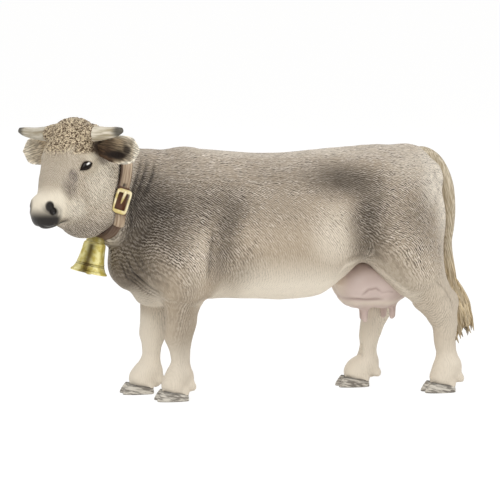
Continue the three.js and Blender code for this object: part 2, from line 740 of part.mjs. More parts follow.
function ear(side) {
  const root = onHead([earRootShares[0], earRootShares[1] * side, earRootShares[2]]);
  const outward = plus(times(headFrame.left, side), times(worldUp, -earDroopShare));
  const along = unit(plus(outward, times(headFrame.forward, -earBackShare)));
  const up = unit(cross(along, times(headFrame.forward, side)));
  const front = times(cross(along, up), -side);
  const rings = Array.from({ length: earSteps + 1 }, (_, step) => {
    const t = step / earSteps;
    const half = (readTable(earShares, 1, t) * earHeight) / 2;
    const centre = plus(root, times(along, mix(-earThickness, earLength, t)));
    const edge = (s, face) => {
      const depth = -earCup * (1 - s * s) * ease(t * 2.4 - 0.45) * Math.min(1, (1 - t) * 4);
      const wall = (face * earThickness * Math.sqrt(1 - s * s * 0.8)) / 2;
      return plus(centre, plus(times(up, s * half), times(front, depth + wall)));
    };
    const spread = Array.from({ length: earPoints }, (_, i) => mix(-1, 1, (i + 0.5) / earPoints));
    return [...spread.map((s) => edge(s, 1)), ...spread.reverse().map((s) => edge(s, -1))];
  });
  const pegEnds = [pegLength * 0.6, -pegLength].map((reach) => plus(root, times(along, reach)));
  const joint = pegJoint(...pegEnds, pegWidth * 0.5);
  return { solid: loft(rings).subtract(grownSkull).add(joint.peg), socket: joint.socket };
}

// Hooves: two toes side by side, each a flat-soled wall that leans back as it rises
const toeSides = 14;
const toeShares = [
  [0, 0, 1],
  [0.5, -0.03, 0.95],
  [1, -0.09, 0.8],
]; // height, shift forward in hoof lengths, and size

function hoof([along, left]) {
  const toeWidth = (hoofWidth - hoofCleft) / 2;
  const sole = place([along, left, 0]);
  const toes = bothSides.map((side) => {
    const centre = plus(sole, [0, (side * (toeWidth + hoofCleft)) / 2, 0]);
    return loft(toeShares.map(([up, ahead, share]) => {
      const ring = { ...bodyFrame, centre: plus(centre, [-ahead * hoofLength, 0, up * hoofHeight]) };
      return ovalRing(ring, (share * hoofLength) / 2, (mix(1, share, 0.4) * toeWidth) / 2, toeSides, 2.3);
    }));
  });
  return toes[0].add(toes[1]);
}

// Collar: a strap in one turn round the neck and once over itself. Its line is an oval round the neck, and
// turns are measured in degrees from the left side, upwards.
const collarSlack = stapleWire + fitGap; // the strap hangs this much looser at the throat
const collarHalf = [(neckHeight + collarSlack) / 2, neckWidth / 2];
const collarFrame = { ...neckFrame, centre: fromFrame(neckFrame, 0, 0, -collarSlack / 2) };
const layerStep = strapThickness + fitGap;
const buckleTurn = -8;
const throatTurn = 270;
const layerDropTurn = 60; // how far round the neck the upper layer takes to come down off the lower one

function onCollar(turn, out, forward) {
  const cos = Math.cos(radians(turn));
  const sin = Math.sin(radians(turn));
  const [sideways, upwards] = [cos / collarHalf[1], sin / collarHalf[0]];
  const outward = unit(plus(times(neckFrame.left, sideways), times(neckFrame.up, upwards)));
  const line = fromFrame(collarFrame, forward, collarHalf[1] * cos, collarHalf[0] * sin);
  return { at: plus(line, times(outward, out)), outward, along: cross(neckFrame.forward, outward) };
}

const overlapTurn = (strapOverlap / collarHalf[0]) * (180 / Math.PI);
const tipTurn = buckleTurn - overlapTurn * 0.68;
const strapEndTurn = tipTurn + overlapTurn;
const strapSteps = 38;
const strapShares = [
  [-0.5, 0],
  [0.5, 0],
  [0.5, 0.7],
  [0.38, 1],
  [-0.38, 1],
  [-0.5, 0.7],
]; // across and out, in widths and thicknesses of the strap

function collarStrap() {
  return loft(Array.from({ length: strapSteps + 1 }, (_, step) => {
    const turn = mix(tipTurn, strapEndTurn + fullTurn, step / strapSteps);
    const rise = layerStep * ease((strapEndTurn + layerDropTurn * 1.25 - turn) / layerDropTurn) + fitGap;
    return strapShares.map(([across, out]) =>
      onCollar(turn, rise + out * strapThickness, across * strapWidth).at);
  }));
}

// The room that hide and cheek leave for both layers of the strap, all the way round
function strapRoom() {
  const half = strapWidth / 2 + fitGap;
  const section = [[-half, 0], [half, 0], [half, 4 * layerStep], [-half, 4 * layerStep]];
  const rings = Array.from({ length: strapSteps }, (_, step) =>
    section.map(([across, out]) => onCollar((step / strapSteps) * fullTurn, out, across).at));
  return loft([...rings, rings[0]], {});
}

// The buckle lies on both layers of the strap. Its own x runs up the strap, y forward and z out.
function buckleMatrix() {
  const { at, outward, along } = onCollar(buckleTurn, 2 * layerStep + fitGap, 0);
  const basis = [along, neckFrame.forward, outward].map((p) => new THREE.Vector3(...p));
  return new THREE.Matrix4().makeBasis(...basis).setPosition(...at);
}

function roundedRectangle(shape, halfLength, halfWidth, radius) {
  shape.moveTo(-halfLength + radius, -halfWidth);
  shape.lineTo(halfLength - radius, -halfWidth);
  shape.absarc(halfLength - radius, -halfWidth + radius, radius, -Math.PI / 2, 0);
  shape.lineTo(halfLength, halfWidth - radius);
  shape.absarc(halfLength - radius, halfWidth - radius, radius, 0, Math.PI / 2);
  shape.lineTo(-halfLength + radius, halfWidth);
  shape.absarc(-halfLength + radius, halfWidth - radius, radius, Math.PI / 2, Math.PI);
  shape.lineTo(-halfLength, -halfWidth + radius);
  shape.absarc(-halfLength + radius, -halfWidth + radius, radius, Math.PI, Math.PI * 1.5);
  return shape;
}

function buckleFrame() {
  const outline = roundedRectangle(new THREE.Shape(), buckleLength / 2, buckleWidth / 2, buckleBar);
  const window = new THREE.Path();
  roundedRectangle(window, buckleLength / 2 - buckleBar, buckleWidth / 2 - buckleBar, buckleBar / 2);
  outline.holes.push(window);
  const bevel = buckleBar * 0.22;
  const geometry = new THREE.ExtrudeGeometry(outline, {
    depth: buckleBar - 2 * bevel,
    bevelSize: bevel,
    bevelThickness: bevel,
    bevelOffset: -bevel,
    bevelSegments: 1,
    curveSegments: 2,
  });
  return solidFrom(geometry.translate(0, 0, bevel).applyMatrix4(buckleMatrix()));
}

// The room that the cheek leaves round the buckle
function buckleRoom() {
  const halfSize = [buckleLength, buckleWidth].map((size) => size / 2 + fitGap);
  const outline = roundedRectangle(new THREE.Shape(), ...halfSize, buckleBar);
  const options = { depth: overrun, bevelEnabled: false, curveSegments: 2 };
  const geometry = new THREE.ExtrudeGeometry(outline, options).translate(0, 0, -fitGap);
  return solidFrom(geometry.applyMatrix4(buckleMatrix()));
}

function buckleProng() {
  const reach = buckleLength / 2 - buckleBar - fitGap;
  const matrix = buckleMatrix();
  const at = (x, z) => new THREE.Vector3(x, 0, z).applyMatrix4(matrix).toArray();
  const middle = prongWidth / 2;
  return taperedBar(
    [at(reach, middle * 1.4), at(0, middle * 1.7), at(-reach, middle)],
    [middle, middle * 0.95, middle * 0.6],
    6,
    8,
  );
}

// Bell: it hangs nearly plumb on a staple round the strap at the throat. Its own y points up.
const throat = onCollar(throatTurn, fitGap + strapThickness, 0);
const crownCentre = plus(throat.at, times(throat.outward, fitGap + stapleWire / 2));
const bellUp = plus(
  times(worldUp, Math.cos(radians(bellTilt))),
  times(bodyFrame.forward, -Math.sin(radians(bellTilt))),
);
const bellFrame = frameAt(crownCentre, cross(bodyFrame.left, bellUp), bellUp);

function stapleLoop(radius) {
  const halfWidth = strapWidth / 2 + fitGap + stapleWire / 2;
  const halfHeight = (strapThickness + stapleWire) / 2 + fitGap;
  const centre = onCollar(throatTurn, fitGap + strapThickness / 2, 0).at;
  const frame = { centre, forward: neckFrame.forward, left: throat.outward, up: throat.along };
  const line = ovalRing(frame, halfWidth, halfHeight, 16, 5);
  const rings = line.map((p, i) => {
    const along = minus(line[(i + 1) % line.length], line.at(i - 1));
    return ovalRing(acrossPath(p, along, throat.along), radius, radius, 7);
  });
  return loft([...rings, rings[0]], {});
}

// A turned piece. Its outline gives the distance from the axis and the height.
function revolve(outline, sides, frame) {
  const geometry = new THREE.LatheGeometry(outline.map(([r, y]) => new THREE.Vector2(r, y)), sides);
  const basis = [frame.forward, frame.up, times(frame.left, -1)].map((p) => new THREE.Vector3(...p));
  const matrix = new THREE.Matrix4().makeBasis(...basis).setPosition(...frame.centre);
  return solidFrom(geometry.applyMatrix4(matrix));
}

// Outline of the bell: depth below the crown as a share of its height, and distance from the axis in radii of
// the crown, and then of the mouth
const bellSides = 24;
const waistShares = [
  [0, 0.9],
  [0.05, 1],
  [0.3, 1.06],
  [0.55, 1.17],
  [0.7, 1.26],
];
const lipShares = [
  [0.73, 0.775],
  [0.79, 0.8],
  [0.9, 0.9],
  [0.97, 1],
  [1, 0.985],
];
const clapperTop = -bellHeight + bellRecess;
const clapperMiddle = -bellHeight - clapperDrop + clapperWidth / 2;

const stapleRoom = stapleLoop(stapleWire / 2 + fitGap);

function bell() {
  const waist = waistShares.map(([down, out]) => [(out * bellCrown) / 2, -down * bellHeight]);
  const lip = lipShares.map(([down, out]) => [(out * bellMouth) / 2, -down * bellHeight]);
  const innerRim = bellMouth / 2 - bellWall;
  const hollow = [[innerRim, -bellHeight], [innerRim - bellRecess * 0.3, clapperTop], [0, clapperTop]];
  const pegEnds = [clapperMiddle, clapperTop + pegWidth].map((up) => fromFrame(bellFrame, 0, 0, up));
  const peg = rod(...pegEnds, pegWidth / 2);
  const form = revolve([[0, 0], ...waist, ...lip, ...hollow], bellSides, bellFrame);
  return form.subtract(peg).subtract(stapleRoom);
}

function clapper() {
  const frame = { ...bellFrame, centre: fromFrame(bellFrame, 0, 0, clapperMiddle) };
  const ball = Array.from({ length: 9 }, (_, i) => {
    const turn = (i / 8) * Math.PI;
    return [(Math.sin(turn) * clapperWidth) / 2, (-Math.cos(turn) * clapperWidth) / 2];
  });
  const stemTop = fromFrame(bellFrame, 0, 0, clapperTop + pegWidth - fitGap);
  const stem = rod(frame.centre, stemTop, pegWidth / 2 - fitGap);
  return revolve(ball, rodSides, frame).add(stem);
}

// Pieces
const horns = { left: horn(1), right: horn(-1) };
const ears = { left: ear(1), right: ear(-1) };

function body() {
  const hooves = Object.values(legShares).map((shares) => hoof(shares.hoof));
  const hide = hooves.reduce((all, one) => all.add(one), skin(hideField, hideGrid));
  const ground = rod([0, 0, -overrun], [0, 0, 0], trunkLength * 2, 4);
  const sockets = [headJoint.socket, tailJoint.socket, udderJoint.socket];
  const cuts = [ground, neckBlock(1), strapRoom(), stapleRoom, ...sockets];
  return cuts.reduce((left, cut) => left.subtract(cut), hide);
}

function head() {
  const sockets = [...Object.values(horns), ...Object.values(ears)].map((piece) => piece.socket);
  const cuts = [neckBlock(-1), strapRoom(), buckleRoom(), stapleRoom, ...sockets];
  return cuts.reduce((left, cut) => left.subtract(cut), skin(skullField, headGrid)).add(headJoint.peg);
}

const finishes = {
  hide: { color: 0xb5a48c, roughness: 0.75, metalness: 0 },
  face: { color: 0xcabba5, roughness: 0.7, metalness: 0 },
  horn: { color: 0xbfb5a7, roughness: 0.55, metalness: 0 },
  ear: { color: 0x9a8468, roughness: 0.75, metalness: 0 },
  switch: { color: 0xb59a72, roughness: 0.75, metalness: 0 },
  udder: { color: 0xcbb5ac, roughness: 0.6, metalness: 0 },
  leather: { color: 0x8d735a, roughness: 0.5, metalness: 0 },
  gold: { color: 0xc4a452, roughness: 0.35, metalness: 0.8 },
};

function meshOf(name, piece, finish) {
  const { vertProperties, triVerts } = piece.getMesh();
  const geometry = new THREE.BufferGeometry();
  geometry.setAttribute("position", new THREE.BufferAttribute(vertProperties, 3));
  geometry.setIndex(new THREE.BufferAttribute(triVerts, 1));
  geometry.computeVertexNormals();
  const mesh = new THREE.Mesh(geometry, new THREE.MeshStandardMaterial(finishes[finish]));
  mesh.name = name;
  return mesh;
}

const figure = new THREE.Group();
figure.add(
  meshOf("body", body(), "hide"),
  meshOf("head", head(), "face"),
  meshOf("left_horn", horns.left.solid, "horn"),
  meshOf("right_horn", horns.right.solid, "horn"),
  meshOf("left_ear", ears.left.solid, "ear"),
  meshOf("right_ear", ears.right.solid, "ear"),
  meshOf("tail", tail(), "switch"),
  meshOf("udder", udder(), "udder"),
  meshOf("collar_strap", collarStrap(), "leather"),
  meshOf("buckle_frame", buckleFrame(), "gold"),
  meshOf("buckle_prong", buckleProng(), "gold"),
  meshOf("bell_staple", stapleLoop(stapleWire / 2), "gold"),
  meshOf("bell", bell(), "gold"),
  meshOf("clapper", clapper(), "gold"),
);

// Stand the figure on the ground with the middle of its box over the origin
const box = new THREE.Box3().setFromObject(figure);
const middle = box.getCenter(new THREE.Vector3());
figure.position.set(-middle.x, -middle.y, -box.min.z);

export default figure;
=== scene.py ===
"""Toy dairy cow with a belled collar: a solid moulded PVC figure, airbrushed and dry-brushed by hand.

Lengths are in millimetres until a mesh is made. The modelling frame is the one that the animal was laid out
in: the chest is at x = 0 and the rump at x = 100, its left side is -y, and the ground is z = 0.
"""

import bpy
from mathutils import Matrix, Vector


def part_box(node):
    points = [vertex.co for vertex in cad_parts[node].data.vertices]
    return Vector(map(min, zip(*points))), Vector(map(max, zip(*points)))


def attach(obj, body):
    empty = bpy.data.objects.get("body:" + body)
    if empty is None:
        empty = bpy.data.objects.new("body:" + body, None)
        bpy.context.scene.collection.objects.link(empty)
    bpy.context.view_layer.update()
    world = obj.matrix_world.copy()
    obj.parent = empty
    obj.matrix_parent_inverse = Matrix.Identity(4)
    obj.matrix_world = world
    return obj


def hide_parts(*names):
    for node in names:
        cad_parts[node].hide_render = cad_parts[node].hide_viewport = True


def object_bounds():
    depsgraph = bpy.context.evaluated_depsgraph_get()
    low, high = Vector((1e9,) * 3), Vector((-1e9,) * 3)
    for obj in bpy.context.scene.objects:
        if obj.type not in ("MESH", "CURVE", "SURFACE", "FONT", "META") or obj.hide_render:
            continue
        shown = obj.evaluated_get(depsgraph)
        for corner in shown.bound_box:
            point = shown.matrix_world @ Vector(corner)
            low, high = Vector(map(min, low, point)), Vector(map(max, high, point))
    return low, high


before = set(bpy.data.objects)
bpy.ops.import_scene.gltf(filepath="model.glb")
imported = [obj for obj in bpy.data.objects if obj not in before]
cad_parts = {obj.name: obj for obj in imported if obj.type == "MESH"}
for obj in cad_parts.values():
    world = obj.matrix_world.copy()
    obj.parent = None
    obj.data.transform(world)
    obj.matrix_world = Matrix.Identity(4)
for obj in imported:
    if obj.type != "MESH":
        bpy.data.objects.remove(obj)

import inspect
import math
from functools import partial

import bpy
import numpy as np
from mathutils import Vector

cad_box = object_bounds()
stand = np.array([-42.37, 5.04, 0.0])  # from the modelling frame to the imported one
metre = 0.001

# Places and directions


def unit(v):
    """The same direction, one long."""
    v = np.asarray(v, float)
    return v / np.linalg.norm(v)


class Axes:
    """A centre and three directions: forward, to the animal's left, and up."""

    def __init__(self, centre, ahead, up):
        self.centre = np.asarray(centre, float)
        self.forward = unit(ahead)
        self.left = unit(np.cross(up, self.forward))
        self.up = np.cross(self.forward, self.left)

    def at(self, f, l, u):
        """Places from distances forward, left and up."""
        f, l, u = np.broadcast_arrays(*(np.asarray(v, float)[..., None] for v in (f, l, u)))
        return self.centre + f * self.forward + l * self.left + u * self.up

    def of(self, p):
        """Distances forward, left and up of places."""
        d = p - self.centre
        return d @ self.forward, d @ self.left, d @ self.up


up = np.array([0.0, 0.0, 1.0])
trunk_length, trunk_width, withers = 100.0, 37.0, 70.0
animal = Axes((0, 0, 0), (-1, 0, 0), up)


def place(share):
    """Along the trunk, left of its middle in half widths, and up to the withers, all as shares."""
    return np.array([share[0] * trunk_length, -share[1] * trunk_width / 2, share[2] * withers])


def bulk(share):
    """Half sizes along, across and up, given as the same shares."""
    return np.array([share[0] * trunk_length, share[1] * trunk_width / 2, share[2] * withers])


def ease(t):
    """Smooth step: 0 below 0, 1 above 1, and 3t2 - 2t3 between."""
    t = np.clip(t, 0, 1)
    return t * t * (3 - 2 * t)


def hump(v, at, reach, power=2):
    """Bell curve: 1 at a place, and 1/e at the reach on either side of it."""
    return np.exp(-((v - at) / reach) ** power)


def squarish(v, power):
    """A sine or cosine to a power with its sign kept: below 1 it squares an oval off."""
    return np.sign(v) * np.abs(v) ** power


def circle(count):
    """Angles in even steps once round."""
    return np.linspace(0, 2 * np.pi, count, endpoint=False)


def read_table(table, column, share):
    """Smooth curve through one column of a table, against its first column (a Catmull-Rom spline)."""
    rows = np.asarray(table, float)
    last = len(rows) - 1
    first = np.clip(np.searchsorted(rows[:, 0], share, side="right") - 1, 0, last - 1)
    t = np.clip((share - rows[first, 0]) / (rows[first + 1, 0] - rows[first, 0]), 0, 1)
    a, b, c, d = (rows[np.clip(first + step, 0, last), column] for step in (-1, 0, 1, 2))
    return b + 0.5 * t * (c - a + t * (2 * a - 5 * b + 4 * c - d + t * (3 * (b - c) + d - a)))


# Fields: distance, negative inside


def smooth_low(a, b, width):
    """The lower of two distances, with a fillet of the given width where they are alike."""
    h = np.maximum(width - np.abs(a - b), 0) / width
    return np.minimum(a, b) - h * h * width / 4


def blend(width, fields):
    """Several fields as one, with fillets between them."""
    def field(p):
        low = fields[0](p) + width
        for one in fields:
            low = smooth_low(low, one(p), width)
        return low
    return field


def hollowed(field, cutter, width):
    """A field with another one cut out of it, and a rounded edge between them."""
    return lambda p: -smooth_low(-field(p), cutter(p), width)


def egg(axes, centre, half, lean=0.0):
    """Egg with three half sizes whose top leans back: first-order distance to an ellipsoid."""
    cos, sin = math.cos(math.radians(lean)), math.sin(math.radians(lean))
    half = np.asarray(half, float)
    turned = np.stack([axes.forward * cos + axes.up * sin, axes.left, axes.up * cos - axes.forward * sin])
    turned /= half[:, None]

    def field(p):
        a, b, c = turned @ (p - centre).T
        near = np.sqrt(a * a + b * b + c * c)
        slope = np.sqrt((a / half[0]) ** 2 + (b / half[1]) ** 2 + (c / half[2]) ** 2)
        return near * (near - 1) / np.maximum(slope, 1e-6)
    return nearby(field, centre - half.max(), centre + half.max())


def limb(joints):
    """Chain of tapered round bars: the least distance to any bar's line, less its radius there."""
    def field(p):
        low = np.full(len(p), 1e3)
        for (a, ra), (b, rb) in zip(joints, joints[1:]):
            run = b - a
            d = p - a
            t = np.clip(d @ run / (run @ run), 0, 1)
            off = d - t[:, None] * run
            low = np.minimum(low, np.sqrt(np.einsum("ij,ij->i", off, off)) - (ra + (rb - ra) * t))
        return low
    spots = np.array([spot for spot, _ in joints])
    wide = max(radius for _, radius in joints)
    return nearby(field, spots.min(0) - wide, spots.max(0) + wide)


def nearby(field, low, high, margin=9.0):
    """The same field, worked out only for points in a box round its form, and a plain far distance elsewhere."""
    low, high = np.asarray(low, float) - margin, np.asarray(high, float) + margin

    def inner(p):
        value = np.full(len(p), margin)
        hit = ((p > low) & (p < high)).all(-1)
        if hit.any():
            value[hit] = field(p[hit])
        return value
    return inner


def oval_wall(l, u, half_height, half_width):
    """Distance from the wall of an oval, measured towards its middle."""
    q = np.hypot(u / half_height, l / half_width)
    return np.hypot(u, l) * (1 - 1 / np.maximum(q, 1e-3))


def sleeve(start, end, start_half, end_half):
    """Straight sleeve of oval section that changes evenly from end to end."""
    reach = np.linalg.norm(end - start)
    axes = Axes(start, end - start, up)

    def field(p):
        f, l, u = axes.of(p)
        t = f / reach
        inside = np.clip(t, 0, 1)
        tall, wide = (start_half[i] + (end_half[i] - start_half[i]) * inside for i in (0, 1))
        return np.maximum(oval_wall(l, u, tall, wide), np.maximum(-t, t - 1) * reach)
    return field


# The trunk, the muscles and the legs

# The trunk from chest to rump: share of the length, back, belly, and share of the width
trunk_shares = [
    (0.03, 0.9, 0.54, 0.3), (0.08, 0.97, 0.45, 0.52), (0.14, 1.0, 0.4, 0.68), (0.22, 1.004, 0.376, 0.82),
    (0.32, 0.99, 0.386, 0.91), (0.42, 0.977, 0.382, 0.98), (0.52, 0.977, 0.376, 1.0),
    (0.61, 0.986, 0.39, 0.99), (0.67, 0.992, 0.45, 0.96), (0.73, 0.995, 0.52, 0.92),
    (0.81, 0.998, 0.55, 0.84), (0.88, 0.985, 0.58, 0.7), (0.945, 0.93, 0.62, 0.48),
]
muscle_blend, fold_blend = 4.5, 3.0


def trunk(p):
    """Barrel: squarish ovals whose back, belly and width follow the outline table, with round ends."""
    front, rear = trunk_shares[0][0], trunk_shares[-1][0]
    share = p[:, 0] / trunk_length
    inside = np.clip(share, front, rear)
    back, belly = (read_table(trunk_shares, column, inside) * withers for column in (1, 2))
    half_height = (back - belly) / 2
    u = p[:, 2] - (back + belly) / 2
    taper = 1 - 0.14 * np.clip(u / half_height, -1, 1)
    half_width = read_table(trunk_shares, 3, inside) * trunk_width * taper / 2
    q = (np.abs(p[:, 1] / half_width) ** 2.25 + np.abs(u / half_height) ** 2.25) ** (1 / 2.25)
    wall = np.hypot(p[:, 1], u) * (1 - 1 / np.maximum(q, 1e-3))
    end = np.maximum(front - share, share - rear) * trunk_length
    return -smooth_low(-wall, -end, muscle_blend)


# Forms on the body: place, half sizes, and lean in degrees
paired_muscles = [
    ((0.235, 0.54, 0.72), (0.1, 0.32, 0.2), 22),  # shoulder blade
    ((0.2, 0.56, 0.57), (0.1, 0.34, 0.16), 24),  # upper arm
    ((0.845, 0.42, 0.69), (0.124, 0.47, 0.25), 0),  # thigh
    ((0.73, 0.58, 0.91), (0.05, 0.16, 0.04), 0),  # hook of the hip
    ((0.93, 0.24, 0.87), (0.04, 0.14, 0.06), 0),  # pin bone
]
middle_muscles = [
    ((0.125, 0, 0.53), (0.125, 0.5, 0.165), 0),  # brisket
    ((0.9, 0, 0.95), (0.04, 0.16, 0.04), 0),  # root of the tail
]
hollows = [
    ((0.66, 1.02, 0.86), (0.07, 0.2, 0.09), 0),  # in front of the hip
    ((0.7, 1.08, 0.7), (0.03, 0.2, 0.16), 0),  # between belly and thigh
]
cannon = 6.0  # width of the bone below the knee
# Legs: each joint is a place and a width in cannon bones, from the shoulder or the thigh down
legs = {
    "front_left": dict(hoof=(0.168, 0.54), joints=[
        (0.225, 0.56, 0.52, 2.6), (0.215, 0.58, 0.43, 2.1), (0.2, 0.56, 0.35, 1.6), (0.191, 0.54, 0.257, 1.3),
        (0.194, 0.54, 0.2, 0.98), (0.196, 0.54, 0.155, 0.96), (0.193, 0.54, 0.105, 1.26),
        (0.178, 0.54, 0.06, 1.22)]),
    "front_right": dict(hoof=(0.106, -0.4), joints=[
        (0.2, -0.56, 0.52, 2.6), (0.185, -0.54, 0.43, 2.1), (0.17, -0.48, 0.35, 1.6),
        (0.157, -0.44, 0.24, 1.26), (0.152, -0.42, 0.19, 0.98), (0.15, -0.41, 0.15, 0.96),
        (0.142, -0.4, 0.1, 1.24), (0.122, -0.4, 0.06, 1.22)]),
    "rear_left": dict(hoof=(0.945, 0.54), hock=(0.978, 0.54, 0.375, 0.7), joints=[
        (0.845, 0.56, 0.6, 3.0), (0.882, 0.57, 0.485, 2.6), (0.918, 0.56, 0.41, 2.0),
        (0.955, 0.54, 0.345, 1.5), (0.966, 0.54, 0.28, 1.18), (0.9645, 0.54, 0.215, 1.0),
        (0.97, 0.54, 0.165, 1.02), (0.975, 0.54, 0.112, 1.34), (0.96, 0.54, 0.06, 1.26)]),
    "rear_right": dict(hoof=(0.742, -0.43), hock=(0.842, -0.48, 0.375, 0.7), joints=[
        (0.825, -0.56, 0.6, 3.0), (0.825, -0.57, 0.485, 2.5), (0.815, -0.54, 0.41, 1.9),
        (0.818, -0.48, 0.345, 1.5), (0.808, -0.45, 0.28, 1.24), (0.794, -0.44, 0.205, 1.02),
        (0.788, -0.43, 0.16, 1.02), (0.78, -0.43, 0.112, 1.32), (0.758, -0.43, 0.06, 1.26)]),
}


def joint(row):
    """Place and radius of a joint, from shares of the trunk and of the cannon bone."""
    return place(row[:3]), row[3] * cannon / 2


def leg(spec):
    """A chain of bars down the leg, and one more for the point of the hock."""
    bars = limb([joint(row) for row in spec["joints"]])
    if "hock" not in spec:
        return bars
    return blend(fold_blend, [bars, limb([joint(spec["hock"]), joint(spec["joints"][3])])])


neck_height, neck_width = 23.8, 15.6
strap_width, strap_thickness, fit_gap = 3.2, 0.9, 0.3
neck_root, neck_end = place((0.18, 0, 0.755)), place((0, 0.243, 0.838))
neck = Axes(neck_end, neck_end - neck_root, up)
neck_half = (neck_height / 2, neck_width / 2)
collar_start, collar_end = neck.at(-strap_width, 0, 0), neck.at(strap_width, 0, 0)
collar_seat = sleeve(collar_start, collar_end, neck_half, neck_half)


def form_on_body(row, side=1):
    """A muscle or hollow from its row, on the left side or mirrored."""
    (along, left, high), reach, lean = row
    return egg(animal, place((along, left * side, high)), bulk(reach), lean)


# Small forms that the moulder's tool gives the legs: dewclaws, knee caps and hock points
leg_bumps = []
for name, spec in legs.items():
    pastern = place(spec["joints"][-2][:3])
    sole = place((*spec["hoof"], 0))
    leg_bumps.append(egg(animal, pastern + np.array([2.0, 0, -1.8]), (2.1, 2.5, 3.6)))
    for half in (-1, 1):
        dewclaw = np.array([pastern[0] + 3.2, pastern[1] + half * 1.5, 4.1])
        heel = sole + np.array([3.3, half * 1.6, 2.3])
        leg_bumps += [egg(animal, dewclaw, (1.2, 0.85, 1.5), -24), egg(animal, heel, (1.5, 1.8, 1.7))]
    if name.startswith("front"):
        knee = place(spec["joints"][3][:3])
        leg_bumps.append(egg(animal, knee + np.array([-2.1, 0, 0.4]), (1.7, 2.5, 3.0)))


def hide_field():
    """Trunk, neck, muscles and legs, blended, cut off at the collar's plane and above the soles."""
    flesh = blend(muscle_blend, [
        trunk,
        sleeve(neck_root, collar_start, (neck_height * 0.7, neck_width * 0.72), neck_half),
        collar_seat,
        *(form_on_body(row) for row in middle_muscles),
        *(form_on_body(row, side) for side in (1, -1) for row in paired_muscles),
        *(leg(spec) for spec in legs.values()),
    ])
    shaped = hollowed(flesh, blend(fold_blend, [form_on_body(row, side) for side in (1, -1) for row in hollows]),
                      fold_blend)
    shaped = blend(0.8, [shaped, *leg_bumps])

    def field(p):
        ahead = (p - neck.centre) @ neck.forward
        return np.maximum(np.maximum(shaped(p), ahead), 1.2 - p[:, 2])
    return field


# The head

head_length, head_width, head_height = 25.0, 17.6, 33.6
turn, roll = math.radians(36), math.radians(2.5)
head_forward = np.array([-math.cos(turn), -math.sin(turn), 0])
head = Axes(place((-0.106, 0.77, 0.663)), head_forward,
            up * math.cos(roll) + np.cross(head_forward, up) * math.sin(roll))


def on_head(share):
    """A place forward, left and up on the head, from shares of its length, half width and height."""
    return head.at(share[0] * head_length, share[1] * head_width / 2, share[2] * head_height)


def head_bulk(share):
    """Half sizes forward, across and up, given as the same shares."""
    return np.array([share[0] * head_length, share[1] * head_width / 2, share[2] * head_height])


def form_on_head(at, reach, lean=0.0, side=1):
    """An egg on the head, on the left side or mirrored."""
    return egg(head, on_head((at[0], at[1] * side, at[2])), head_bulk(reach), lean)


middle_head = [
    ((-0.04, 0, 0.72), (0.31, 0.84, 0.2), 0),  # skull
    ((-0.02, 0, 0.875), (0.2, 0.66, 0.11), 0),  # curls on the poll
    ((0.2, 0, 0.54), (0.16, 0.58, 0.29), 24),  # bridge of the nose
    ((0.43, 0, 0.265), (0.2, 0.6, 0.13), 0),  # muzzle
    ((0.36, 0, 0.2), (0.16, 0.42, 0.08), 0),  # chin
]
paired_head = [
    ((0.06, 0.46, 0.67), (0.17, 0.38, 0.09), 10),  # brow
    ((0.08, 0.38, 0.46), (0.27, 0.45, 0.34), 16),  # side of the face
    ((-0.17, 0.42, 0.47), (0.27, 0.45, 0.28), 0),  # cheek
]
# The jaw's bar on either side: forward, left and up, and radius in widths of the head
jaw_shares = [(0.28, 0.1, 0.24, 0.12), (-0.06, 0.2, 0.13, 0.24), (-0.23, 0.36, 0.22, 0.25),
              (-0.27, 0.38, 0.53, 0.25)]

# The collar's own line is an oval round the neck, a little lower than the neck's middle. Turns are degrees
# from the left side, upwards.
staple_wire = 0.8
slack = staple_wire + fit_gap
collar_half = ((neck_height + slack) / 2, neck_width / 2)
collar = Axes(neck.at(0, 0, -slack / 2), neck.forward, neck.up)
layer_step = strap_thickness + fit_gap
buckle_turn, throat_turn = -8.0, 270.0
buckle_length, buckle_width, buckle_bar = 6.2, 4.9, 0.85


def on_collar(turn_degrees, out, forward):
    """A place on the collar: turns are degrees from the left side upwards, out is square to the oval."""
    turn_degrees, out, forward = np.broadcast_arrays(*(np.asarray(v, float) for v in (turn_degrees, out, forward)))
    cos, sin = np.cos(np.radians(turn_degrees)), np.sin(np.radians(turn_degrees))
    outward = cos[..., None] / collar_half[1] * neck.left + sin[..., None] / collar_half[0] * neck.up
    outward = outward / np.linalg.norm(outward, axis=-1, keepdims=True)
    line = collar.at(forward, collar_half[1] * cos, collar_half[0] * sin)
    return line + outward * out[..., None], outward, np.cross(neck.forward, outward)


def strap_room(p):
    """The groove that cheek and neck leave for the strap's two layers."""
    f, l, u = collar.of(p)
    wall = oval_wall(l, u, collar_half[0], collar_half[1])
    return np.maximum(np.abs(f) - strap_width / 2 - 0.35, np.maximum(-wall, wall - 4 * layer_step))


def swayed(p):
    """The collar hangs back a little below the buckle, and the skin beside it goes with it: x plus 2.5 mm times
    a step down from 57 to 48 mm high, less towards the throat, fading with the square of the distance."""
    f, l, _ = collar.of(p)
    lower = ease((57 - p[..., 2]) / 9) * ease((p[..., 2] - 22) / 8)
    side = 0.3 + 0.7 * ease(np.abs(l) / 4.5)
    moved = np.array(p, float)
    moved[..., 0] += 2.5 * lower * side * hump(f, 0, 9)
    return moved


def buckle_axes():
    """Centre of the buckle's underside, then up the strap, forward and outward."""
    at, outward, along = on_collar(buckle_turn, 2 * layer_step + fit_gap, 0.0)
    return at, along, neck.forward, outward


def buckle_room(p):
    """The block that the cheek leaves for the buckle."""
    at, along, across, outward = buckle_axes()
    d = p - at
    return np.maximum(np.maximum(np.abs(d @ along) - buckle_length / 2 - 0.3,
                                 np.abs(d @ across) - buckle_width / 2 - 0.3), -(d @ outward) - 0.3)


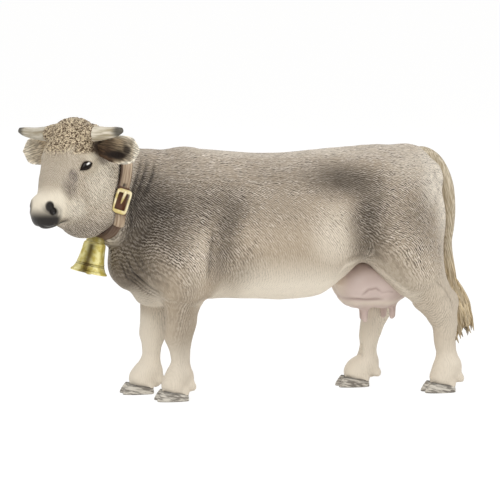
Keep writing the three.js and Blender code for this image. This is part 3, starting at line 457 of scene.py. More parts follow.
def scattered(corner, seed, stretch=1.0):
    """A repeatable number from 0 to 1 for each lattice corner: the fraction of a large multiple of a sine."""
    return np.sin((corner @ np.array([127.1, 311.7, 74.7]) + seed) * stretch) * 43758.5453 % 1


def hair_cells(p, size, seed=0):
    """Distance to the nearest of a field of jittered points, in cell sizes (cellular noise)."""
    q = p / size
    home = np.floor(q)
    best = np.full(len(p), 9.0)
    for step in np.ndindex(3, 3, 3):
        corner = home + np.array(step) - 1
        jitter = np.stack([scattered(corner, seed, k) for k in (1.0, 1.37, 1.91)], -1)
        best = np.minimum(best, np.sqrt(((corner + jitter - q) ** 2).sum(-1)))
    return best


def soft_noise(p, size, seed=0):
    """Smooth value noise from -1 to 1 with features of the given size."""
    q = p / size + seed * 17.31
    home = np.floor(q)
    t = ease(q - home)
    total = np.zeros(len(p))
    for step in np.ndindex(2, 2, 2):
        corner = home + np.array(step)
        total += scattered(corner, seed) * np.prod(np.where(np.array(step), t, 1 - t), axis=-1)
    return total * 2 - 1


eye_at = (0.068, 0.8, 0.582)
eye_half = np.array([2.0, 1.28, 0.95])  # corner to corner, up and down, and depth


def eye_axes(way, flesh):
    """Centre of an eye on the skin, and three directions: from its front corner to its back one, up, and out."""
    out = unit(head.left * way + head.forward * 0.5)
    level = unit(-head.forward - out * (-head.forward @ out))
    along = unit(level * math.cos(math.radians(27)) + head.up * math.sin(math.radians(27)))
    tall = np.cross(out, along)
    tall = tall if tall @ head.up > 0 else -tall
    centre = on_head((eye_at[0], eye_at[1] * way * 0.6, eye_at[2]))
    reach = np.linspace(0, 8, 400)
    outside = flesh(centre + reach[:, None] * out) > 0
    return centre + out * reach[np.argmax(outside)], along, tall, out


low_lid = 0.62  # share of the upper lid's height that the lower one has


def lid_height(x):
    """Share of an eye's height from its front corner at -1 to its back one at 1: pinched most at the front."""
    x = np.clip(x, -1.1, 1.1)
    return 1 - 0.6 * x * x + 0.3 * x


def almond(centre, along, tall, out, half):
    """Field of an egg whose height follows the lids' share from corner to corner."""
    def field(p):
        d = p - centre
        x = (d @ along) / half[0]
        y = d @ tall
        y = y / (half[1] * lid_height(x) * np.where(y < 0, low_lid, 1.0))
        z = (d @ out) / half[2]
        return (np.sqrt(x * x + y * y + z * z) - 1) * half[1]
    return nearby(field, centre - 3, centre + 3, 4.0)


def head_flesh():
    """The head's forms, blended: skull, muzzle, jaw, cheeks and neck, with curls, brows and lids on them."""
    curls_at_horn = [form_on_head((0.0, 0.74, 0.85), (0.15, 0.4, 0.085), 0, side) for side in (1, -1)]
    curls_behind = [form_on_head((-0.14, 0.6, 0.79), (0.12, 0.42, 0.11), 0, side) for side in (1, -1)]
    flesh = blend(muscle_blend / 1.5, [
        *(form_on_head(*row) for row in middle_head),
        *(limb([(on_head((f, l * side, u)), r * head_width) for f, l, u, r in jaw_shares]) for side in (1, -1)),
        *(form_on_head(*row, side=side) for side in (1, -1) for row in paired_head),
        sleeve(collar_end, on_head((-0.1, 0.05, 0.5)), neck_half, (neck_half[0] * 0.92, neck_half[1] * 0.92)),
        collar_seat,
    ])
    brow_ridges = [form_on_head((0.1, 0.76, 0.65), (0.1, 0.17, 0.022), 12, side) for side in (1, -1)]
    lids = [egg(head, on_head((0.062, 0.8 * side, 0.582)), (2.7, 1.8, 2.0)) for side in (1, -1)]
    return blend(1.1, [flesh, *curls_at_horn, *curls_behind, *brow_ridges, *lids])


flesh_of_head = head_flesh()
eyes = [eye_axes(way, flesh_of_head) for way in (1, -1)]


def eye_sockets(p):
    """Distance to the nearer eye, set in by a twentieth of a millimetre."""
    return np.minimum(*(almond(centre - out * 0.05, along, tall, out, eye_half)(p)
                        for centre, along, tall, out in eyes))


def nostril_holes(p):
    """Comma-shaped nostrils: two overlapping eggs on each side, the lower one a little further back."""
    holes = [egg(head, head.at(at[0], at[1] * side, at[2]), half, -15) for side in (1, -1) for at, half in (
        ((14.3, 3.9, 9.4), (1.3, 0.9, 1.5)), ((13.3, 4.3, 7.9), (1.0, 0.9, 1.1)))]
    return np.minimum.reduce([hole(p) for hole in holes])


def head_field():
    """The flesh less the eye sockets and the nostrils, cut off at the collar's plane and round the strap."""
    face = hollowed(flesh_of_head, eye_sockets, 0.22)
    face = hollowed(face, nostril_holes, 0.5)

    def field(p):
        ahead = (p - neck.centre) @ neck.forward
        value = np.maximum(face(p), -ahead)
        value = -smooth_low(-value, strap_room(p), 0.4)
        return -smooth_low(-value, buckle_room(p), 0.4)
    return field


# Skinning a field


def skin(field, low, high, cell):
    """Surface nets: one vertex in each cell that the surface crosses, at the mean of its edge crossings and
    then moved down the field's slope onto the surface, and one four-sided face round each crossed edge."""
    coarse = 4
    low = np.asarray(low, float)
    blocks = np.ceil((np.asarray(high) - low) / (cell * coarse)).astype(int)
    counts = blocks * coarse + 1
    lattice = np.stack(np.meshgrid(*(np.arange(n) for n in counts), indexing="ij"), -1)
    rough = field(low + lattice[::coarse, ::coarse, ::coarse].reshape(-1, 3) * cell).reshape(blocks + 1)
    eight = np.stack([rough[i:i + blocks[0], j:j + blocks[1], k:k + blocks[2]]
                      for i, j, k in np.ndindex(2, 2, 2)])
    near = np.abs(eight).min(0) < coarse * cell * 1.15
    spread = near.repeat(coarse, 0).repeat(coarse, 1).repeat(coarse, 2)
    wanted = np.zeros(counts, bool)
    for i, j, k in np.ndindex(2, 2, 2):
        wanted[i:i + spread.shape[0], j:j + spread.shape[1], k:k + spread.shape[2]] |= spread
    values = rough[np.ix_(*(np.arange(n) // coarse for n in counts))]
    values[wanted] = field(low + lattice[wanted] * cell)
    inside = values < 0
    total = sum(inside[i:i + counts[0] - 1, j:j + counts[1] - 1, k:k + counts[2] - 1].astype(np.int8)
                for i, j, k in np.ndindex(2, 2, 2))
    mixed = (total > 0) & (total < 8)
    ids = np.full(mixed.shape, -1)
    ids[mixed] = np.arange(mixed.sum())
    cells = np.argwhere(mixed)
    corners = [np.array(c) for c in np.ndindex(2, 2, 2)]
    level = [values[tuple((cells + c).T)] for c in corners]
    spot, hits = np.zeros((len(cells), 3)), np.zeros(len(cells))
    for a, b in ((a, b) for a in range(8) for b in range(a + 1, 8) if abs(corners[a] - corners[b]).sum() == 1):
        crossed = (level[a] < 0) != (level[b] < 0)
        t = np.where(crossed, level[a] / np.where(crossed, level[a] - level[b], 1), 0)
        spot += crossed[:, None] * (corners[a] + t[:, None] * (corners[b] - corners[a]))
        hits += crossed
    points = low + cell * (cells + spot / hits[:, None])
    for _ in range(2):
        points, normal = settle(field, points, cell / 8)
    quads = []
    for axis in range(3):
        b, c = (axis + 1) % 3, (axis + 2) % 3
        before = [slice(None)] * 3
        after = [slice(None)] * 3
        before[axis], after[axis] = slice(None, -1), slice(1, None)
        starts_in = inside[tuple(before)]
        for way in (True, False):
            start = np.argwhere((starts_in != inside[tuple(after)]) & (starts_in == way))
            ring = []
            for back_b, back_c in ((1, 1), (0, 1), (0, 0), (1, 0)):
                at = start.copy()
                at[:, b] -= back_b
                at[:, c] -= back_c
                ring.append(ids[tuple(at.T)])
            quads.append(np.stack(ring if way else ring[::-1], -1))
    return points, np.concatenate(quads), normal


def settle(field, p, step):
    """Moves points down the field's slope towards its zero. Gives the new points and the slope's direction."""
    value = field(p)
    slope = np.stack([(field(p + e) - value) / step for e in np.eye(3) * step], -1)
    steep = np.maximum((slope * slope).sum(-1), 0.25)
    moved = p + slope * np.clip(-value / steep, -step * 4, step * 4)[:, None]
    return moved, slope / np.sqrt(np.maximum((slope * slope).sum(-1), 1e-9))[:, None]


# Meshes


def put(name, data):
    """A new object in the scene."""
    made = bpy.data.objects.new(name, data)
    bpy.context.scene.collection.objects.link(made)
    return made


def new_piece(name, points, faces, stands_for, slot, material, values, vectors=None):
    """A mesh from arrays of points in the modelling frame and of faces, that rides on the figure. A face is
    four corners, or three and a -1."""
    low, high = np.array(cad_box) / metre - stand
    margin = 0.01
    points = np.clip(points, low + np.array([margin, margin, 0]), high - margin)
    mesh = bpy.data.meshes.new(name)
    faces = np.asarray(faces)
    sides = (faces >= 0).sum(-1)
    corners = faces[faces >= 0]
    mesh.vertices.add(len(points))
    mesh.vertices.foreach_set("co", ((points + stand) * metre).astype(np.float32).ravel())
    mesh.loops.add(len(corners))
    mesh.loops.foreach_set("vertex_index", corners.astype(np.int32))
    mesh.polygons.add(len(faces))
    mesh.polygons.foreach_set("loop_start", (np.cumsum(sides) - sides).astype(np.int32))
    mesh.update(calc_edges=True)
    mesh.validate()
    for key, array in values.items():
        mesh.attributes.new(key, "FLOAT", "POINT").data.foreach_set("value", array.astype(np.float32))
    for key, array in (vectors or {}).items():
        data = mesh.attributes.new(key, "FLOAT_VECTOR", "POINT").data
        data.foreach_set("vector", array.astype(np.float32).ravel())
    mesh.shade_smooth()
    mesh.materials.append(material)
    piece = put(name, mesh)
    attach(piece, "root")
    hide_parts(*stands_for)
    return piece


def grid_faces(rows, columns, closed_rows=False):
    """Four-sided faces of a grid of points, row after row, whose rows are closed rings."""
    i = np.arange(rows if closed_rows else rows - 1)
    i, j = (v.ravel() for v in np.meshgrid(i, np.arange(columns), indexing="ij"))
    i1, j1 = (i + 1) % rows, (j + 1) % columns
    return np.stack([i * columns + j, i * columns + j1, i1 * columns + j1, i1 * columns + j], -1)


def join(parts):
    """One set of points and faces from several."""
    points, faces, offset = [], [], 0
    for p, f in parts:
        points.append(p)
        faces.append(np.where(f >= 0, f + offset, -1))
        offset += len(p)
    return np.concatenate(points), np.concatenate(faces)


def facing_out(points, faces):
    """Turns every face over if the closed mesh is inside out, by the sign of its volume."""
    a, b, c, d = (points[faces[:, k]] for k in range(4))
    four = faces[:, 3] >= 0
    volume = (np.cross(b, c) * a).sum() + (np.cross(c, d) * a)[four].sum()
    return faces if volume > 0 else np.where(four[:, None], faces[:, ::-1], faces[:, [2, 1, 0, 3]])


def closed_tube(rows):
    """A closed skin over rings of points, with a fan of triangles to the middle of the first and last."""
    count, sides = rows.shape[:2]
    points = np.concatenate([rows.reshape(-1, 3), [rows[0].mean(0), rows[-1].mean(0)]])
    j = np.arange(sides)
    k = (j + 1) % sides
    offset, first, none = (count - 1) * sides, count * sides, np.full(sides, -1)
    faces = np.concatenate([grid_faces(count, sides),
                            np.stack([np.full(sides, first), k, j, none], -1),
                            np.stack([np.full(sides, first + 1), offset + j, offset + k, none], -1)])
    return points, facing_out(points, faces)


def path_frames(line, guide):
    """Directions across a path: along it from point to point, and two square to it, one near the guide."""
    along = np.gradient(line, axis=0)
    along /= np.linalg.norm(along, axis=-1, keepdims=True)
    side = np.cross(along, guide)
    side /= np.linalg.norm(side, axis=-1, keepdims=True)
    return along, side, np.cross(side, along)


def smooth_line(points, count):
    """Catmull-Rom curve through points, evenly in their number."""
    points = np.asarray(points, float)
    table = np.column_stack([np.arange(len(points)), points])
    t = np.linspace(0, len(points) - 1, count)
    return np.stack([read_table(table, column, t) for column in (1, 2, 3)], -1)


def tapered_bar(points, radii, steps, sides, guide, section=None):
    """Round bar along a smooth line: each ring is the radius there times a unit section, and its ends shrink
    to a point over a rounded cap."""
    line = smooth_line(points, steps)
    t = np.linspace(0, len(radii) - 1, steps)
    radius = read_table(np.column_stack([np.arange(len(radii)), radii]), 1, t)
    along, side, over = path_frames(line, guide)
    turn = circle(sides)
    ring = np.stack([np.cos(turn), np.sin(turn)], -1)
    scale = np.ones((steps, sides)) if section is None else section(np.linspace(0, 1, steps)[:, None], turn[None])
    rows = (line[:, None] + radius[:, None, None] * scale[..., None]
            * (ring[None, :, :1] * side[:, None] + ring[None, :, 1:] * over[:, None]))
    shrunk, out = (np.array(v)[:, None, None] for v in ((0.02, 0.5, 0.87), (0.8, 0.696, 0.4)))  # rings of a cap
    caps = [line[end] + (rows[end] - line[end]) * shrunk[::way] - way * along[end] * radius[end] * out[::way]
            for end, way in ((0, 1), (-1, -1))]
    return closed_tube(np.concatenate([caps[0], rows, caps[1]]))


def evenly(line, count, closed=False):
    """The same line, or closed loop, with its points evenly spaced."""
    line = np.concatenate([line, line[:1]]) if closed else line
    gone = np.concatenate([[0], np.cumsum(np.linalg.norm(np.diff(line, axis=0), axis=-1))])
    at = np.linspace(0, gone[-1], count, endpoint=not closed)
    return np.stack([np.interp(at, gone, line[:, k]) for k in (0, 1)], -1)


def squared_loop(half, power, count, fine):
    """Evenly spaced points round a rectangle with round corners, and the way out of it at each."""
    t = circle(fine)
    line = evenly(np.stack([squarish(np.cos(t), power) * half[0], squarish(np.sin(t), power) * half[1]], -1),
                  count, closed=True)
    step = np.roll(line, -1, 0) - np.roll(line, 1, 0)
    step /= np.linalg.norm(step, axis=-1, keepdims=True)
    return line, np.stack([step[:, 1], -step[:, 0]], -1)


# Finishes


def paint(code):
    """An sRGB hex colour as the linear colour that a shader socket takes."""
    srgb = np.array([int(code[i:i + 2], 16) / 255 for i in (1, 3, 5)])
    return (*np.where(srgb <= 0.04045, srgb / 12.92, ((srgb + 0.055) / 1.055) ** 2.4), 1.0)


def add(tree, kind, settings, sockets, out=0):
    """Adds one node and gives one of its outputs. Settings are its own options, and each socket takes a value,
    a colour or a link."""
    node = tree.nodes.new("ShaderNode" + kind)
    for name, value in settings.items():
        setattr(node, name, value)
    for name, value in sockets.items():
        if isinstance(value, bpy.types.NodeSocket):
            tree.links.new(value, node.inputs[name])
        else:
            node.inputs[name].default_value = value
    return node.outputs[out] if node.outputs else node


def cleared(owner):
    """The node tree of a material or a world, empty."""
    owner.use_nodes = True
    owner.node_tree.nodes.clear()
    return owner.node_tree


vector_attributes = ("coat", "lay")


def finish(name):
    """Makes a named material of a function that takes the node maker, then the place on the figure (spot) and
    the mesh's attributes, all by name, and gives the sockets of the shader."""
    def made(build):
        material = bpy.data.materials.new(name)
        node = partial(add, cleared(material))
        asked = [key for key in inspect.signature(build).parameters if key != "node"]
        reads = {key: node("Attribute", {"attribute_name": key}, {}, 1 if key in vector_attributes else 2)
                 for key in asked if key != "spot"}
        if "spot" in asked:
            reads["spot"] = node("TexCoord", {}, {}, "Object")
        node("OutputMaterial", {}, {"Surface": node("BsdfPrincipled", {}, build(node, **reads))})
        return material
    return made


colours = {"data_type": "RGBA"}  # a Mix node of colours: sockets 0, 6 and 7 are the share and the two colours
times, plus = {"operation": "MULTIPLY"}, {"operation": "ADD"}
smooth = {"interpolation_type": "SMOOTHSTEP"}


def strokes(node, spot, turned_by, length, width):
    """Short strokes of the modelling tool: noise that is stretched along one direction, in metres."""
    lined = node("Mapping", {"vector_type": "TEXTURE"},
                 {"Vector": spot, "Rotation": turned_by, "Scale": (length, width, width)})
    noise = node("TexNoise", {}, {"Vector": lined, "Scale": 1.0, "Detail": 1.0, "Distortion": 0.2})
    return node("MapRange", smooth, {"Value": noise, "From Min": 0.36, "From Max": 0.64})


band_tilt = 0.7  # radians, so that the bands cut into the skin and don't run round it as rings


def hatched(node, spot, turned_by, length, width):
    """Engraved hair: sine bands 0.314 of the width apart, bent and broken by noise that is longer along the
    hair than across it. The figure's own strokes are finer than the picture can show, so they are drawn
    coarser, 0.44 mm apart on the hide and 0.41 mm on the face."""
    lined = node("Mapping", {"vector_type": "TEXTURE"},
                 {"Vector": spot, "Rotation": turned_by, "Scale": (length, width, width)})
    return node("TexWave", {"bands_direction": "Z"}, {"Vector": lined, "Scale": 1.0, "Distortion": 5.0,
                                                      "Detail": 1.0, "Detail Scale": 2.5}, 1)


def combed(node, spot, length, width):
    """Hatching in six directions from straight back to straight down. The mesh says how much of each, and only
    two neighbours meet at any place, so that the lie of the hair turns smoothly over the body."""
    total = 0.0
    for group, key in enumerate(("comb_high", "comb_low")):
        comb = node("Attribute", {"attribute_name": key}, {}, 1)
        for k, axis in enumerate("XYZ"):
            amount = node("SeparateXYZ", {}, {0: comb}, axis)
            lie = hatched(node, spot, (-band_tilt, math.radians((group * 3 + k) * 18), 0), length, width)
            total = node("Math", {"operation": "MULTIPLY_ADD"}, {0: lie, 1: amount, 2: total})
    return total


def brushed(node, colour, hair, fur, dark, light):
    """Darker in the strokes and lighter on their ridges, partly wash and dry brushing and partly painted shade and
    painted highlight, both as strong as the coat is deep there.
    """
    down = node("MapRange", {}, {"Value": hair, "From Min": 0.5, "From Max": 0.0, "To Max": dark})
    lift = node("MapRange", {}, {"Value": hair, "From Min": 0.5, "From Max": 1.0, "To Max": light})
    colour = node("Mix", colours, {0: node("Math", times, {0: down, 1: fur}), 6: colour, 7: paint("#2f261e")}, 2)
    return node("Mix", colours, {0: node("Math", times, {0: lift, 1: fur}), 6: colour, 7: paint("#e8ddd0")}, 2)


@finish("airbrushed PVC hide")
def hide_finish(node, spot, coat, fur, shade, pale):
    """Solid PVC with an engraved coat. The base coat is sprayed, a darker one goes over it where the mesh says
    shade and a paler one where it says pale, each partly the coat's own colour and partly painted shade and painted
    light. The strokes are darker in their grooves and lighter on their ridges, partly wash and dry brushing and
    partly painted shade and painted highlight. The eye gets matt hair that runs lighter and darker with each
    stroke."""
    hair = combed(node, coat, 0.0034, 0.0014)
    patchy = node("TexNoise", {}, {"Vector": spot, "Scale": 1 / 0.0022, "Detail": 1.0})
    depth = node("Math", times, {0: fur, 1: node("MapRange", {}, {"Value": patchy, "From Min": 0.3, "From Max": 0.7,
                                                                    "To Min": 0.55, "To Max": 1.25})})
    cloud = node("TexNoise", {}, {"Vector": spot, "Scale": 1 / 0.005, "Detail": 2.0})
    uneven = node("Math", times, {0: shade, 1: node("Math", {"operation": "MULTIPLY_ADD"},
                                                    {0: cloud, 1: 0.4, 2: 0.8})})
    colour = node("Mix", colours, {0: pale, 6: paint("#aa9b87"), 7: paint("#ede4d4")}, 2)
    colour = node("Mix", colours, {0: uneven, 6: colour, 7: paint("#2b231b")}, 2)
    light = node("MapRange", {}, {"Value": shade, "To Min": 0.88, "To Max": 0.2})
    colour = brushed(node, colour, hair, depth, 0.95, light)
    ridge = node("Math", times, {0: hair, 1: depth})
    relief = node("Bump", {}, {"Height": ridge, "Strength": 1.0, "Distance": 0.00006})
    return {"Base Color": colour, "Roughness": 0.62, "Specular IOR Level": 0.3, "Normal": relief}


@finish("airbrushed PVC face")
def face_finish(node, spot, coat, fur, shade, pale, pad, curl, rim, dusk):
    """The head is painted as the hide is, with soft brown brushed into the curls, a black gloss on the nose pad,
    dark rims round eyes and nostrils, and painted shade under the jaw, along the collar's edge and behind the eye
    at the ear's root."""
    hair = hatched(node, coat, (band_tilt, 0.8, 0), 0.0026, 0.0013)
    cloud = node("TexNoise", {}, {"Vector": spot, "Scale": 1 / 0.004, "Detail": 2.0})
    uneven = node("Math", times, {0: shade, 1: node("Math", plus, {0: cloud, 1: 0.5})})
    colour = node("Mix", colours, {0: pale, 6: paint("#b3a48d"), 7: paint("#e5dcc9")}, 2)
    colour = node("Mix", colours, {0: uneven, 6: colour, 7: paint("#4d4136")}, 2)
    colour = brushed(node, colour, hair, fur, 0.68, 0.6)
    kinks = node("TexNoise", {}, {"Vector": spot, "Scale": 1 / 0.00045, "Detail": 1.0, "Distortion": 1.2})
    woolly = node("MapRange", smooth, {"Value": kinks, "From Min": 0.42, "From Max": 0.58})
    wool = node("Mix", colours, {0: woolly, 6: paint("#4f3b29"), 7: paint("#d6c5a7")}, 2)
    colour = node("Mix", colours, {0: curl, 6: colour, 7: wool}, 2)
    for share, code in ((dusk, "#33241a"), (rim, "#33231a"), (pad, "#211d1a")):
        colour = node("Mix", colours, {0: share, 6: colour, 7: paint(code)}, 2)
    ridge = node("Math", plus, {0: node("Math", times, {0: hair, 1: fur}),
                                1: node("Math", times, {0: woolly, 1: curl})})
    relief = node("Bump", {}, {"Height": ridge, "Strength": 1.0, "Distance": 0.00008})
    pebbles = node("TexVoronoi", {}, {"Vector": spot, "Scale": 1 / 0.0007})
    leathery = node("Bump", {}, {"Height": node("Math", times, {0: pebbles, 1: pad}), "Strength": 0.5,
                                 "Distance": 0.00006, "Normal": relief})
    sheen = node("MapRange", {}, {"Value": pad, "To Min": 0.6, "To Max": 0.32})
    return {"Base Color": colour, "Roughness": sheen, "Specular IOR Level": 0.3, "Normal": leathery}


@finish("painted PVC hoof")
def hoof_finish(node, spot, grime):
    """Hoof: the same PVC, painted slate grey, with the growth rings that run round the wall in lighter and darker
    grey, and painted shade along the coronet and round the sole."""
    lined = node("Mapping", {"vector_type": "TEXTURE"}, {"Vector": spot, "Rotation": (0, 0.2, 0),
                                                         "Scale": (0.0025, 0.0025, 0.0005)})
    rings = node("TexNoise", {}, {"Vector": lined, "Scale": 1.0, "Detail": 3.0})
    streaks = node("MapRange", smooth, {"Value": rings, "From Min": 0.38, "From Max": 0.62})
    colour = node("Mix", colours, {0: streaks, 6: paint("#78726a"), 7: paint("#c9c3b8")}, 2)
    colour = node("Mix", colours, {0: grime, 6: colour, 7: paint("#3d3832")}, 2)
    relief = node("Bump", {}, {"Height": rings, "Strength": 0.7, "Distance": 0.00012})
    return {"Base Color": colour, "Roughness": 0.5, "Specular IOR Level": 0.4, "Normal": relief}


@finish("painted PVC horn")
def horn_finish(node, lay, tip):
    """Horn: bone-coloured paint over fine lengthwise grooves, airbrushed to grey-black at the tip, with painted
    shade over the whole right horn.
    """
    lined = node("Mapping", {"vector_type": "TEXTURE"}, {"Vector": lay, "Scale": (0.006, 0.0006, 0.0006)})
    grooves = node("TexNoise", {}, {"Vector": lined, "Scale": 1.0, "Detail": 3.0})
    fine = node("MapRange", smooth, {"Value": grooves, "From Min": 0.35, "From Max": 0.65})
    colour = node("Mix", colours, {0: fine, 6: paint("#a99d84"), 7: paint("#dcd4c3")}, 2)
    colour = node("Mix", colours, {0: tip, 6: colour, 7: paint("#3b3832")}, 2)
    relief = node("Bump", {}, {"Height": fine, "Strength": 0.6, "Distance": 0.00008})
    return {"Base Color": colour, "Roughness": 0.45, "Specular IOR Level": 0.4, "Normal": relief}


@finish("airbrushed PVC ear")
def ear_finish(node, lay, rim, dark, shade):
    """Ear: short hair strokes from root to tip, near-black brown in the hollow as dark hair and painted shade, with
    pale dry-brushed rims.
    """
    hair = strokes(node, lay, (0, 0, 0.25), 0.002, 0.0003)
    colour = node("Mix", colours, {0: shade, 6: paint("#a6957b"), 7: paint("#4a3727")}, 2)
    colour = node("Mix", colours, {0: rim, 6: colour, 7: paint("#e2dac9")}, 2)
    brushed = node("Math", {"operation": "MULTIPLY_ADD"}, {0: hair, 1: 0.8, 2: 0.6})
    colour = node("HueSaturation", {}, {"Color": colour, "Value": brushed})
    colour = node("Mix", colours, {0: dark, 6: colour, 7: paint("#1c110a")}, 2)
    relief = node("Bump", {}, {"Height": hair, "Strength": 1.0, "Distance": 0.00012})
    return {"Base Color": colour, "Roughness": 0.65, "Specular IOR Level": 0.28, "Normal": relief}


@finish("dry-brushed PVC tail")
def switch_finish(node, spot, tawny, groove):
    """Tail: coat-coloured down the stem and tawny in the switch, with painted shade between the locks."""
    hair = strokes(node, spot, (0, math.radians(76), 0), 0.005, 0.0003)
    lock = strokes(node, spot, (0, math.radians(72), 0), 0.012, 0.0009)
    stem = node("Mix", colours, {0: hair, 6: paint("#9f9179"), 7: paint("#d0c4ae")}, 2)
    locks = node("Mix", colours, {0: hair, 6: paint("#8b7552"), 7: paint("#d8c5a2")}, 2)
    locks = node("Mix", colours, {0: node("Math", times, {0: lock, 1: 0.55}), 6: locks,
                                  7: paint("#b9ad98")}, 2)
    colour = node("Mix", colours, {0: tawny, 6: stem, 7: locks}, 2)
    colour = node("Mix", colours, {0: groove, 6: colour, 7: paint("#4d3d27")}, 2)
    relief = node("Bump", {}, {"Height": hair, "Strength": 1.0, "Distance": 0.0001})
    return {"Base Color": colour, "Roughness": 0.62, "Specular IOR Level": 0.28, "Normal": relief}


@finish("pink sprayed PVC udder")
def udder_finish(node, spot, furrow, blush, belly):
    """Udder: smooth PVC with a pink spray, painted shade in its furrows, paler where it meets the belly, painted
    light on the plate above the teats, and a slight skin-like shine."""
    cloud = node("TexNoise", {}, {"Vector": spot, "Scale": 1 / 0.005, "Detail": 2.0})
    skin_grain = node("TexNoise", {}, {"Vector": spot, "Scale": 1 / 0.0006, "Detail": 2.0})
    colour = node("Mix", colours, {0: cloud, 6: paint("#c3b0a9"), 7: paint("#d1c2bb")}, 2)
    for share, code in ((blush, "#b9a198"), (belly, "#dacdbe"), (furrow, "#8a6f67")):
        colour = node("Mix", colours, {0: share, 6: colour, 7: paint(code)}, 2)
    relief = node("Bump", {}, {"Height": skin_grain, "Strength": 0.35, "Distance": 0.00006})
    return {"Base Color": colour, "Roughness": 0.5, "Specular IOR Level": 0.35, "Normal": relief}


@finish("gloss lacquered eye")
def eye_finish(node, spot, glint):
    """Eye: gloss lacquer over near-black brown, with a small white painted highlight in place of a lamp's
    reflection.
    """
    iris = node("TexNoise", {}, {"Vector": spot, "Scale": 1 / 0.0012, "Detail": 2.0})
    colour = node("Mix", colours, {0: iris, 6: paint("#0d0a08"), 7: paint("#20150e")}, 2)
    colour = node("Mix", colours, {0: glint, 6: colour, 7: paint("#f4f1ec")}, 2)
    return {"Base Color": colour, "Roughness": 0.16, "Specular IOR Level": 0.16}


@finish("leather-look painted PVC")
def leather_finish(node, spot, lay, edge, hole, deep, window):
    """Collar: PVC painted to look like oiled leather, with brush marks along the strap, and painted shade on its
    edges, on the lower layer, in the buckle's window and in the holes, with a painted shadow along the front edge
    and under the tip."""
    lined = node("Mapping", {"vector_type": "TEXTURE"}, {"Vector": lay, "Scale": (0.006, 0.0005, 1.0)})
    brushed = node("TexNoise", {}, {"Vector": lined, "Scale": 1.0, "Detail": 3.0})
    pores = node("TexVoronoi", {}, {"Vector": spot, "Scale": 1 / 0.00045})
    colour = node("Mix", colours, {0: node("MapRange", smooth, {"Value": brushed, "From Min": 0.3,
                                                                 "From Max": 0.7}),
                                   6: paint("#8a7159"), 7: paint("#c6b299")}, 2)
    for share, code in ((deep, "#4c3226"), (window, "#562a12"), (edge, "#402a1c"), (hole, "#1c110a")):
        colour = node("Mix", colours, {0: share, 6: colour, 7: paint(code)}, 2)
    height = node("Math", {"operation": "MULTIPLY_ADD"}, {0: pores, 1: 0.5, 2: brushed})
    relief = node("Bump", {}, {"Height": height, "Strength": 0.6, "Distance": 0.00007})
    return {"Base Color": colour, "Roughness": 0.48, "Specular IOR Level": 0.4, "Normal": relief}


def gold_finish(name, low, high, wash):
    """Bell and buckle: moulded PVC in gold paint with fine flakes, painted shade in the grooves and hollows and
    dark runs of painted reflection where the mesh says so, and small pits from the mould."""
    @finish(name)
    def gold(node, spot, recess):
        cloud = node("TexNoise", {}, {"Vector": spot, "Scale": 1 / 0.0018, "Detail": 3.0})
        even = node("MapRange", smooth, {"Value": cloud, "From Min": 0.35, "From Max": 0.65})
        flakes = node("TexVoronoi", {}, {"Vector": spot, "Scale": 1 / 0.00035})
        colour = node("Mix", colours, {0: even, 6: paint(low), 7: paint(high)}, 2)
        colour = node("Mix", colours, {0: recess, 6: colour, 7: paint(wash)}, 2)
        rough = node("MapRange", {}, {"Value": cloud, "To Min": 0.3, "To Max": 0.5})
        height = node("Math", {"operation": "MULTIPLY_ADD"}, {0: flakes, 1: 0.2, 2: cloud})
        relief = node("Bump", {}, {"Height": height, "Strength": 0.5, "Distance": 0.00012})
        return {"Base Color": colour, "Metallic": 0.4, "Roughness": rough, "Specular IOR Level": 0.5,
                "Normal": relief}
    return gold


# The hide


def from_line(p2, line):
    """Distance of points in a plane from a line of straight stretches, and the share of the line passed."""
    line = np.asarray(line, float)
    best, passed = np.full(len(p2), 1e3), np.zeros(len(p2))
    for k, (a, b) in enumerate(zip(line, line[1:])):
        run = b - a
        t = np.clip(((p2 - a) @ run) / (run @ run), 0, 1)
        gap = np.linalg.norm(p2 - a - t[:, None] * run, axis=-1)
        nearer = gap < best
        best, passed = np.where(nearer, gap, best), np.where(nearer, (k + t) / (len(line) - 1), passed)
    return best, passed


def crease(p2, line, width, depth):
    """A groove along a line drawn on the side of the animal: a bell curve of the distance, which fades at the
    line's ends and has a low swollen lip on either side."""
    gap, passed = from_line(p2, line)
    fade = ease(np.minimum(passed, 1 - passed) * 4 + 0.15)
    q, lip = gap / width, 0.3
    return fade * depth * (-np.exp(-q * q) + lip * np.exp(-(q - 2.1) ** 2))


def patch(p2, centre, half, lean=0.0):
    """A soft airbrushed oval: 1 in the middle, 0 outside, with the given half sizes and lean in degrees."""
    cos, sin = math.cos(math.radians(lean)), math.sin(math.radians(lean))
    d = p2 - np.asarray(centre, float)
    q = np.hypot((d[:, 0] * cos + d[:, 1] * sin) / half[0], (d[:, 1] * cos - d[:, 0] * sin) / half[1])
    return ease(1.0 - (q - 0.15) / 1.6)


